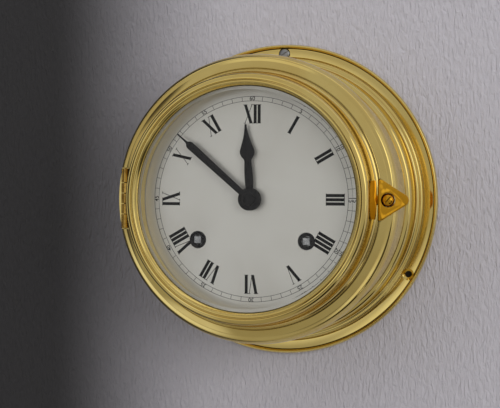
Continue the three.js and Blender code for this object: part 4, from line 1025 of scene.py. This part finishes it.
@dataclass
class Hinge:
    """Five-knuckle hinge at nine o'clock with its two leaves and pin."""

    x: float = -72.6
    z: float = 70.5
    barrel: float = 2.3
    pin: float = 0.85
    end_knuckle: float = 7.6
    middle_knuckle: float = 5.4
    gap: float = 0.3
    rounding: float = 0.18
    spine_x: float = -70.0
    case_leaf_x: float = -63.6
    case_leaf_z: Point = (68.5, 69.3)
    door_leaf_x: float = -66.9
    door_leaf_z: Point = (72.0, 72.8)

    def upright(self, profile: Sequence[Point], steps: int) -> Form:
        """Solid of a profile that is spun round the hinge's own axis, its heights along the dial's y."""
        stood = Matrix.Translation((self.x, 0, self.z)) @ Matrix.Rotation(math.radians(-90), 4, "X")
        return moved(spun(profile, steps), stood)

    def knuckle(self, low: float, high: float) -> Form:
        """Rolled knuckle between two heights of the dial.

        Args:
            low: its lower end.
            high: its upper end.

        Returns:
            The form.
        """
        bore, wall, edge = self.pin + 0.15, self.barrel, self.rounding
        lower = [(bore, low), (wall - edge, low), (wall, low + edge)]
        return self.upright([*lower, (wall, high - edge), (wall - edge, high), (bore, high)], ROD_STEPS)

    def leaf(self, reach: float, thickness: Point, spans: Sequence[Point]) -> Form:
        """One leaf with its knuckles.

        Args:
            reach: x of the edge that is away from the pin.
            thickness: heights of its back and its front.
            spans: lower and upper end of each knuckle.

        Returns:
            The form.
        """
        ears = [block((self.x, reach), span, thickness) for span in spans]
        spine = block((self.spine_x, reach), (spans[0][0], spans[-1][1]), thickness)
        return gathered([*ears, spine, *[self.knuckle(*span) for span in spans]])

    def build(self, shop: Workshop) -> None:
        """Makes the leaves and the pin.

        Args:
            shop: where they are made.
        """
        half = self.middle_knuckle / 2
        second = half + self.gap
        third = second + self.middle_knuckle
        fourth = third + self.gap
        end = fourth + self.end_knuckle
        form = self.leaf(self.case_leaf_x, self.case_leaf_z, ((-end, -fourth), (-half, half), (fourth, end)))
        shop.piece("hinge_leaf_case", form, WORN_BRASS, "case", ["hinge_case_leaf"])
        form = self.leaf(self.door_leaf_x, self.door_leaf_z, ((-third, -second), (second, third)))
        shop.piece("hinge_leaf_door", form, WORN_BRASS, "door", ["hinge_bezel_leaf"])
        tip = end + 0.3
        form = self.upright([(0, -tip), (0.5, -tip), (self.pin, -end), (self.pin, end), (0.5, tip), (0, tip)], 24)
        shop.piece("hinge_rod", form, WORN_BRASS, "case", ["hinge_pin"])


@dataclass
class Catch:
    """Slotted ball stud at three o'clock."""

    z: float = 73.4
    radius: float = 3.3
    shank: float = 1.5
    shank_ends: Point = (62.9, 70.9)
    slot_depth: float = 1.2
    slot_turn: float = 50.0

    def build(self, shop: Workshop) -> None:
        """Makes the stud.

        Args:
            shop: where it is made.
        """
        top = self.z + self.radius
        ball = arc(0, self.z, self.radius, self.radius, -49, 90, 24)[:-1]
        back, neck = self.shank_ends
        profile = [(0, back), (self.shank, back), (self.shank, neck), *ball, (0, top)]
        slot = turned(block((-5, 5), (-0.3, 0.3), (top - self.slot_depth, 80)), self.slot_turn)
        stud = softened(carved(spun(profile, ROD_STEPS), [slot]), 0.08, 60, 2)
        shop.piece("ball_stud", shifted(stud, CATCH_X, 0), AMBER_BRASS, "case", ["catch_stud"], "worn_brass")


class Letter(Enum):
    """Letters of the Roman numerals."""

    BAR = "I"
    VEE = "V"
    CROSS = "X"


@dataclass
class Dial:
    """Silvered dial with its printed figures and the bushes of the winding holes."""

    radius: float = 65.7
    back: float = 71.1
    face: float = 72.0
    centre_hole: float = 5.2
    screw_circle: float = 64.05
    feet: tuple[Point, ...] = ((-46, 10), (46, 10), (0, -34))
    foot_radius: float = 1.5
    foot_back: float = 65.9
    track_outer: float = 54.7
    track_inner: float = 52.3
    line: float = 0.22
    number_size: float = 3.1
    number_weight: float = 0.03
    numeral_foot: float = 40.3
    numeral_top: float = 50.4
    thick: float = 1.65
    thin: float = 0.32
    serif: float = 0.3
    thin_serif: float = 1.3
    glyph_width: float = 4.9
    glyph_gap: float = 0.55
    winding_x: float = 30.0
    winding_y: float = -22.0
    winding_hole: float = 4.7
    bush_bore: float = 2.9
    bush_radius: float = 4.4
    bush_top: float = 72.3
    print_back: float = 0.005
    print_height: float = 0.03
    hours: tuple[str, ...] = ("XII", "I", "II", "III", "IIII", "V", "VI", "VII", "VIII", "IX", "X", "XI")

    def plate(self) -> Form:
        """Dial plate with its feet, centre hole, winding holes and screw holes.

        Returns:
            The form.
        """
        rim, back, face = self.radius, self.back, self.face
        disc = spun([(0, back), (rim, back), (rim, face - 0.15), (rim - 0.15, face), (0, face)])
        windings = [(side * self.winding_x, self.winding_y) for side in (-1, 1)]
        cutters = [rod(self.centre_hole, 70, 73), *rods(windings, self.winding_hole, 70, 73)]
        cutters += rods(around(SCREW_HOLES, self.screw_circle, 30), 1.0, 70, 73, 20)
        return gathered([carved(disc, cutters), *rods(self.feet, self.foot_radius, self.foot_back, back + 0.1, 20)])

    def printed(self, outline: Sequence[Point]) -> Form:
        """Ink in the shape of a flat outline on the dial's face."""
        return prism(outline, self.face + self.print_back, self.face + self.print_height)

    def stroke(self, foot: float, top: float, width: float, heights: Point) -> Form:
        """One straight stroke of a numeral, or the serif that ends one.

        Args:
            foot: its middle at its lower end.
            top: its middle at its upper end.
            width: its width across.
            heights: its lower and its upper end.

        Returns:
            The form.
        """
        half = width / 2
        low, high = heights
        return self.printed([(foot - half, low), (foot + half, low), (top + half, high), (top - half, high)])

    def glyph(self, letter: Letter, left: float) -> list[Form]:
        """One letter of a numeral.

        Args:
            letter: the letter.
            left: its left edge.

        Returns:
            Its strokes and their serifs.
        """
        thick, thin, fine = self.thick, self.thin, self.thin_serif
        foot = (self.numeral_foot, self.numeral_foot + self.serif)
        top = (self.numeral_top - self.serif, self.numeral_top)
        inner = left + thick / 2
        outer = left + self.glyph_width - thin
        if letter is Letter.BAR:
            strokes = [(inner, inner, thick)]
            serifs = [(inner, thick + 0.5, foot), (inner, thick + 0.5, top)]
        elif letter is Letter.VEE:
            point = left + self.glyph_width * 0.58
            strokes = [(point, inner, thick), (point + 0.35, outer, thin)]
            serifs = [(inner, thick + 0.8, top), (outer, fine, top)]
        else:
            start, end = left + thin + 0.3, outer - 0.5
            strokes = [(end, inner, thick), (start, outer, thin)]
            serifs = [(inner, thick + 0.6, top), (outer, fine, top), (end, thick + 0.6, foot), (start, fine, foot)]
        forms = [self.stroke(*stroke, (self.numeral_foot, self.numeral_top)) for stroke in strokes]
        return forms + [self.stroke(middle, middle, width, ends) for middle, width, ends in serifs]

    def numeral(self, letters: str) -> Form:
        """A Roman numeral at twelve o'clock.

        Args:
            letters: its letters.

        Returns:
            The form.
        """
        widths = [self.thick if letter == Letter.BAR.value else self.glyph_width for letter in letters]
        left = -(sum(widths) + self.glyph_gap * (len(letters) - 1)) / 2
        parts = []
        for letter, width in zip(letters, widths):
            parts += self.glyph(Letter(letter), left)
            left += width + self.glyph_gap
        return gathered(parts)

    def track(self) -> Form:
        """Minute track: two circles and a line for each minute that has no number.

        Returns:
            The form.
        """
        half, inner, outer = self.line / 2, self.track_inner, self.track_outer
        heights = (self.face + self.print_back, self.face + self.print_height)
        rings = [spun(rectangle((radius - half, radius + half), heights)) for radius in (inner, outer)]
        line = rectangle((-half, half), (inner, outer))
        return gathered([*rings, *[turned(self.printed(line), -6 * minute) for minute in range(60) if minute % 5]])

    def number(self, minute: int) -> Form:
        """Minute number in its place on the track.

        Args:
            minute: the minute, 5 to 60.

        Returns:
            The form.
        """
        words = bpy.data.curves.new("number", "FONT")
        words.body = str(minute)
        words.size = self.number_size
        words.offset = self.number_weight
        words.extrude = self.print_height / 2
        words.align_x = words.align_y = "CENTER"
        helper = as_object("number", words)
        bpy.context.view_layer.update()
        form = bmesh.new()
        form.from_mesh(helper.evaluated_get(bpy.context.evaluated_depsgraph_get()).to_mesh())
        bpy.data.objects.remove(helper)
        bpy.data.curves.remove(words)
        height = self.face + self.print_height / 2 + self.print_back
        shifted(form, 0, (self.track_inner + self.track_outer) / 2, height)
        return turned(clean(form), -6 * minute)

    def bush(self) -> Form:
        """Bush that lines a winding hole, drawn on the axis.

        Returns:
            The form.
        """
        bore, rim, back, top = self.bush_bore, self.bush_radius, self.back, self.bush_top
        mouth = [(rim, top - 0.15), (rim - 0.2, top), (bore + 0.25, top), (bore, top - 0.25)]
        return spun([(bore, back), (rim, back), *mouth], 48)

    def build(self, shop: Workshop) -> None:
        """Makes the dial and its printing.

        Args:
            shop: where they are made.
        """
        shop.piece("dial_disc", self.plate(), SILVERED_DIAL, "case", ["dial_plate"])
        numerals = gathered(turned(self.numeral(letters), -30 * hour) for hour, letters in enumerate(self.hours))
        numbers = gathered(self.number(minute) for minute in range(5, 61, 5))
        for name, form in (("hour_numerals", numerals), ("minute_track", self.track()), ("minute_numbers", numbers)):
            shop.piece(name, form, PRINTING_INK, "case", slot="black_paint")
        for name, side in (("time", 1), ("strike", -1)):
            form = shifted(self.bush(), side * self.winding_x, self.winding_y)
            shop.piece(f"{name}_bush", form, BLACK_PAINT, "case", [f"{name}_winding_bush"])


@dataclass
class Hands:
    """Black hour and minute hands and the domed nut that holds them."""

    hub: float = 6.0
    hub_steps: int = 60
    thickness: float = 0.7
    hour_back: float = 74.6
    hour_bore: float = 4.1
    hour_neck: float = 2.0
    hour_angle: float = 355.9
    minute_back: float = 77.2
    minute_bore: float = 2.3
    minute_neck: float = 1.6
    minute_angle: float = 310.9
    nut_bore: float = 2.1
    nut_radius: float = 3.4
    nut_back: float = 78.2
    nut_top: float = 80.7

    def neck(self, half_width: float) -> Point:
        """Point of the hub's edge at which a hand of a half width leaves it."""
        return half_width, math.sqrt(self.hub**2 - half_width**2)

    def hand(self, half: Sequence[Point], bore: float, back: float, angle: float) -> Form:
        """Hand that points at a dial angle.

        Args:
            half: (half width, distance from the axis) points from hub to tip.
            bore: radius of its bore.
            back: height of its back face.
            angle: clockwise from twelve o'clock in degrees.

        Returns:
            The form.
        """
        start = math.degrees(math.atan2(half[0][1], half[0][0]))
        hub = arc(0, 0, self.hub, self.hub, 180 - start, 360 + start, self.hub_steps)[1:-1]
        outline = [*half, *[(-x, y) for x, y in reversed(half)], *hub]
        sheet = softened(prism(outline, back, back + self.thickness), 0.14, 50, 2)
        return turned(carved(sheet, [rod(bore, back - 1, back + 2)]), -angle)

    def build(self, shop: Workshop) -> None:
        """Makes the hands and the nut.

        Args:
            shop: where they are made.
        """
        half = smooth_curve([
            self.neck(self.hour_neck), (2.3, 10.5), (2.1, 17.0), (1.85, 20.0), (2.25, 21.4), (3.4, 22.9), (4.05, 25.2),
            (3.45, 27.4), (2.35, 30.6), (1.35, 34.0), (0.75, 37.4), (0.5, 39.9),
        ], 5)
        form = self.hand(half, self.hour_bore, self.hour_back, self.hour_angle)
        shop.piece("hour_pointer", form, BLACK_PAINT, "hour_train", ["hour_hand"])
        half = [self.neck(self.minute_neck), (2.1, 43.3), (2.05, 43.9), (1.75, 44.7)]
        half += smooth_curve([(1.35, 45.2), (0.75, 45.9), (0.55, 47.2), (0.42, 50.0), (0.38, 53.0)], 4)
        form = self.hand(half, self.minute_bore, self.minute_back, self.minute_angle)
        shop.piece("minute_pointer", form, BLACK_PAINT, "minute_train", ["minute_hand"])
        bore, rim, back, top = self.nut_bore, self.nut_radius, self.nut_back, self.nut_top
        dome = arc(0, back + 1.1, rim - 0.1, top - back - 1.1, 8, 88, 10)
        profile = [(bore, back), (rim, back), (rim, back + 1.0), *dome, (0, top), (0, top - 0.5), (bore, top - 0.6)]
        shop.piece("dome_nut", spun(profile, 64), BLACK_PAINT, "minute_train", ["hand_nut"])


class Movement:
    """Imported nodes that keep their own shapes, dressed by the record's material slots."""

    def build(self, shop: Workshop) -> None:
        """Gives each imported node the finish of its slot.

        Args:
            shop: where the finishes are.
        """
        slots = {part["node"]: part["material_slot"] for part in frame["record"]["subparts"]}
        for name, node in frame["nodes"].items():
            for place in node.material_slots:
                place.material = shop.materials[slots[name]]
            log.info("%s: %s", name, slots[name])


# Studio


@dataclass(frozen=True)
class Patch:
    """Soft round patch of the room that polished metal shows.

    It lies in one direction from the clock, full up to its inner angle in degrees and gone at its outer one.
    """

    direction: Place
    inner: float
    outer: float
    colour: Colour

    def mask(self, graph: Graph, vector: Socket) -> Socket:
        """Gives 1 in the patch and 0 out of it, for the direction looked in."""
        dot = graph.vector("DOT_PRODUCT", vector, tuple(Vector(self.direction).normalized()))["Value"]
        return graph.ramp(dot, math.cos(math.radians(self.outer)), math.cos(math.radians(self.inner)))


@dataclass(frozen=True)
class Lamp:
    """Soft rectangular lamp that faces the clock, in metres and watts."""

    name: str
    place: Place
    size: Point
    power: float
    colour: Colour

    def build(self) -> None:
        """Makes the lamp, which polished metal and glass don't show."""
        light = bpy.data.lights.new(self.name, "AREA")
        light.shape = "RECTANGLE"
        light.size, light.size_y = self.size
        light.energy = self.power
        light.color = self.colour
        lamp = as_object(self.name, light)
        lamp.location = self.place
        lamp.rotation_mode = "QUATERNION"
        lamp.rotation_quaternion = (-Vector(self.place)).to_track_quat("-Z", "Y")
        lamp.visible_glossy = False
        lamp.visible_transmission = False


@dataclass
class Studio:
    """Wall, floor, soft lamps, the room's light and the camera, in metres."""

    camera_place: Place = (0.18244, -0.71962, 0.00269)
    camera_target: Place = (-0.00112, -0.072, -0.00258)
    camera_roll: float = 0.357
    camera_lens: float = 90.95
    wall_reach: float = 2.5
    wall_y: float = 0.0002
    opening_inside_flange: float = 0.0018
    drilled_y: float = 0.0001
    drilled_radius: float = 0.0024
    floor_size: float = 5.0
    floor_place: Place = (0, -2.4, -1.1)
    even_room: Colour = (0.5, 0.5, 0.51)
    low_room: Colour = (0.32, 0.31, 0.28)
    high_room: Colour = (0.45, 0.44, 0.42)
    room_edges: Point = (-0.7, 0.5)
    beside: Colour = (0.8, 0.78, 0.74)
    beside_depth: Point = (-0.16, -0.06)
    beside_height: Point = (-0.45, -0.1)
    lamps: tuple[Lamp, ...] = (
        Lamp("softbox_right", (1.2, -1.5, 0.3), (0.9, 0.9), 17.0, (1.0, 0.98, 0.95)),
        Lamp("softbox_left", (-1.2, -1.6, 0.5), (0.8, 1.2), 5.0, (0.95, 0.97, 1.0)),
        Lamp("ceiling", (0.0, -1.0, 1.8), (2.0, 1.6), 12.0, (1.0, 0.99, 0.97)),
    )
    patches: tuple[Patch, ...] = (
        Patch((0.3, -0.93, 0.2), 6, 16, (0.5, 0.48, 0.45)),
        Patch((-0.8, -0.6, -0.05), 13, 21, (0.06, 0.055, 0.055)),
        Patch((-0.71, -0.57, 0.41), 8, 14, (0.05, 0.045, 0.045)),
        Patch((-0.29, -0.955, 0.0), 4, 9, (0.64, 0.63, 0.61)),
        Patch((-0.24, -0.94, 0.25), 3, 6, (0.68, 0.67, 0.64)),
        Patch((-0.11, -0.985, -0.13), 2, 6, (0.8, 0.79, 0.75)),
        Patch((-0.45, -0.87, -0.22), 4, 10, (0.78, 0.8, 0.86)),
        Patch((-0.56, -0.55, -0.62), 6, 14, (0.62, 0.62, 0.64)),
        Patch((0.84, -0.54, 0.04), 5, 11, (1.1, 1.1, 1.05)),
        Patch((0.81, -0.49, 0.32), 12, 17, (1.4, 1.38, 1.25)),
        Patch((0.95, -0.3, 0.0), 5, 9, (0.3, 0.29, 0.28)),
        Patch((0.998, 0.03, 0.05), 4, 8, (0.75, 0.74, 0.7)),
        Patch((-0.03, -0.93, -0.36), 6, 11, (0.12, 0.11, 0.09)),
        Patch((0.46, -0.37, -0.8), 14, 21, (0.02, 0.017, 0.01)),
        Patch((0.66, -0.37, -0.65), 12, 18, (0.025, 0.02, 0.012)),
        Patch((0.83, -0.34, -0.44), 12, 18, (0.05, 0.045, 0.035)),
        Patch((0.565, -0.6, -0.565), 4, 8, (1.0, 0.98, 0.9)),
        Patch((0.63, -0.27, -0.73), 2, 4, (1.1, 1.08, 1.0)),
    )

    def surface(self, name: str, form: Form, finish: Plaster) -> bpy.types.Object:
        """Flat surface of the studio.

        Args:
            name: its name.
            form: its form in metres, which is freed.
            finish: its finish.

        Returns:
            The surface.
        """
        mesh = as_mesh(form, name)
        mesh.materials.append(finish.material())
        surface = as_object(name, mesh)
        return surface

    def upright(self, y: float) -> Matrix:
        """Turns a flat form to stand parallel to the wall, at a place in front of it or behind."""
        return Matrix.Translation((0, y, 0)) @ Matrix.Rotation(math.radians(90), 4, "X")

    def floor(self) -> Form:
        """Square floor.

        Returns:
            The form, in metres.
        """
        form = bmesh.new()
        place = Matrix.Translation(self.floor_place)
        bmesh.ops.create_grid(form, x_segments=1, y_segments=1, size=self.floor_size / 2, matrix=place)
        return form

    def wall(self) -> Form:
        """Wall with a round opening hidden behind the clock, which lets light reach the clock's back.

        Returns:
            The form, in metres.
        """
        form = bmesh.new()
        for radius in (WallCase.flange_radius * MM - self.opening_inside_flange, self.wall_reach):
            bmesh.ops.create_circle(form, segments=RING_STEPS, radius=radius, matrix=self.upright(self.wall_y))
        faces = bmesh.ops.bridge_loops(form, edges=form.edges[:])["faces"]
        for face in faces:
            face.normal_update()
        if faces[0].normal.y > 0:
            bmesh.ops.reverse_faces(form, faces=faces)
        return form

    def drilled(self) -> Form:
        """Near-black discs of painted shade for the mouths of the holes drilled in the wall for the two screws that
        aren't in.

        Returns:
            The form, in metres.
        """
        form = bmesh.new()
        for x, y in around(SCREW_HOLES, WallCase.screw_circle * MM, 90)[1:]:
            place = self.upright(self.drilled_y) @ Matrix.Translation((x, y, 0))
            bmesh.ops.create_circle(form, cap_ends=True, segments=ROD_STEPS, radius=self.drilled_radius, matrix=place)
        return form

    def room(self) -> None:
        """Light of the room: even for the eye and for matt surfaces, with light and dark parts in polished ones."""
        world = bpy.data.worlds.new("room")
        bpy.context.scene.world = world
        world.use_nodes = True
        graph = Graph(world.node_tree)
        vector = graph.add("ShaderNodeTexCoord").outputs["Generated"]
        _, depth, height = graph.split(vector)
        seen = graph.blend(graph.ramp(height, *self.room_edges), self.low_room, self.high_room)
        level = graph.ramp(height, *self.beside_height)
        glow = graph.math("MULTIPLY", graph.ramp(depth, *self.beside_depth), level)
        seen = graph.blend(glow, seen, self.beside)
        for patch in self.patches:
            seen = graph.blend(patch.mask(graph, vector), seen, patch.colour)
        polished = graph.add("ShaderNodeLightPath").outputs["Is Glossy Ray"]
        graph.feed(graph.tree.nodes["Background"], {"Color": graph.blend(polished, self.even_room, seen)})

    def camera(self) -> None:
        """Camera at the photograph's place and angle of view."""
        data = bpy.data.cameras.new("camera")
        data.lens = self.camera_lens
        camera = as_object("camera", data)
        camera.location = self.camera_place
        forward = Vector(self.camera_target) - Vector(self.camera_place)
        roll = Quaternion((0, 0, 1), math.radians(self.camera_roll))
        camera.rotation_mode = "QUATERNION"
        camera.rotation_quaternion = forward.to_track_quat("-Z", "Y") @ roll
        bpy.context.scene.camera = camera

    def build(self) -> None:
        """Sets up the studio."""
        self.surface("wall", self.wall(), WALL_PAPER)
        self.surface("hole_shade_discs", self.drilled(), HOLE_SHADE)
        self.surface("floor", self.floor(), FLOOR_BOARD).visible_glossy = False
        for lamp in self.lamps:
            lamp.build()
        self.room()
        self.camera()
        bpy.context.scene.view_settings.view_transform = "Standard"


def main() -> None:
    """Builds the clock and the studio in order."""
    logging.basicConfig(level=logging.INFO, format="%(name)s: %(message)s")
    shop = Workshop()
    for assembly in (Movement(), WallCase(), Door(), Hinge(), Catch(), Dial(), Hands()):
        assembly.build(shop)
    Studio().build()


if __name__ == "__main__":
    main()
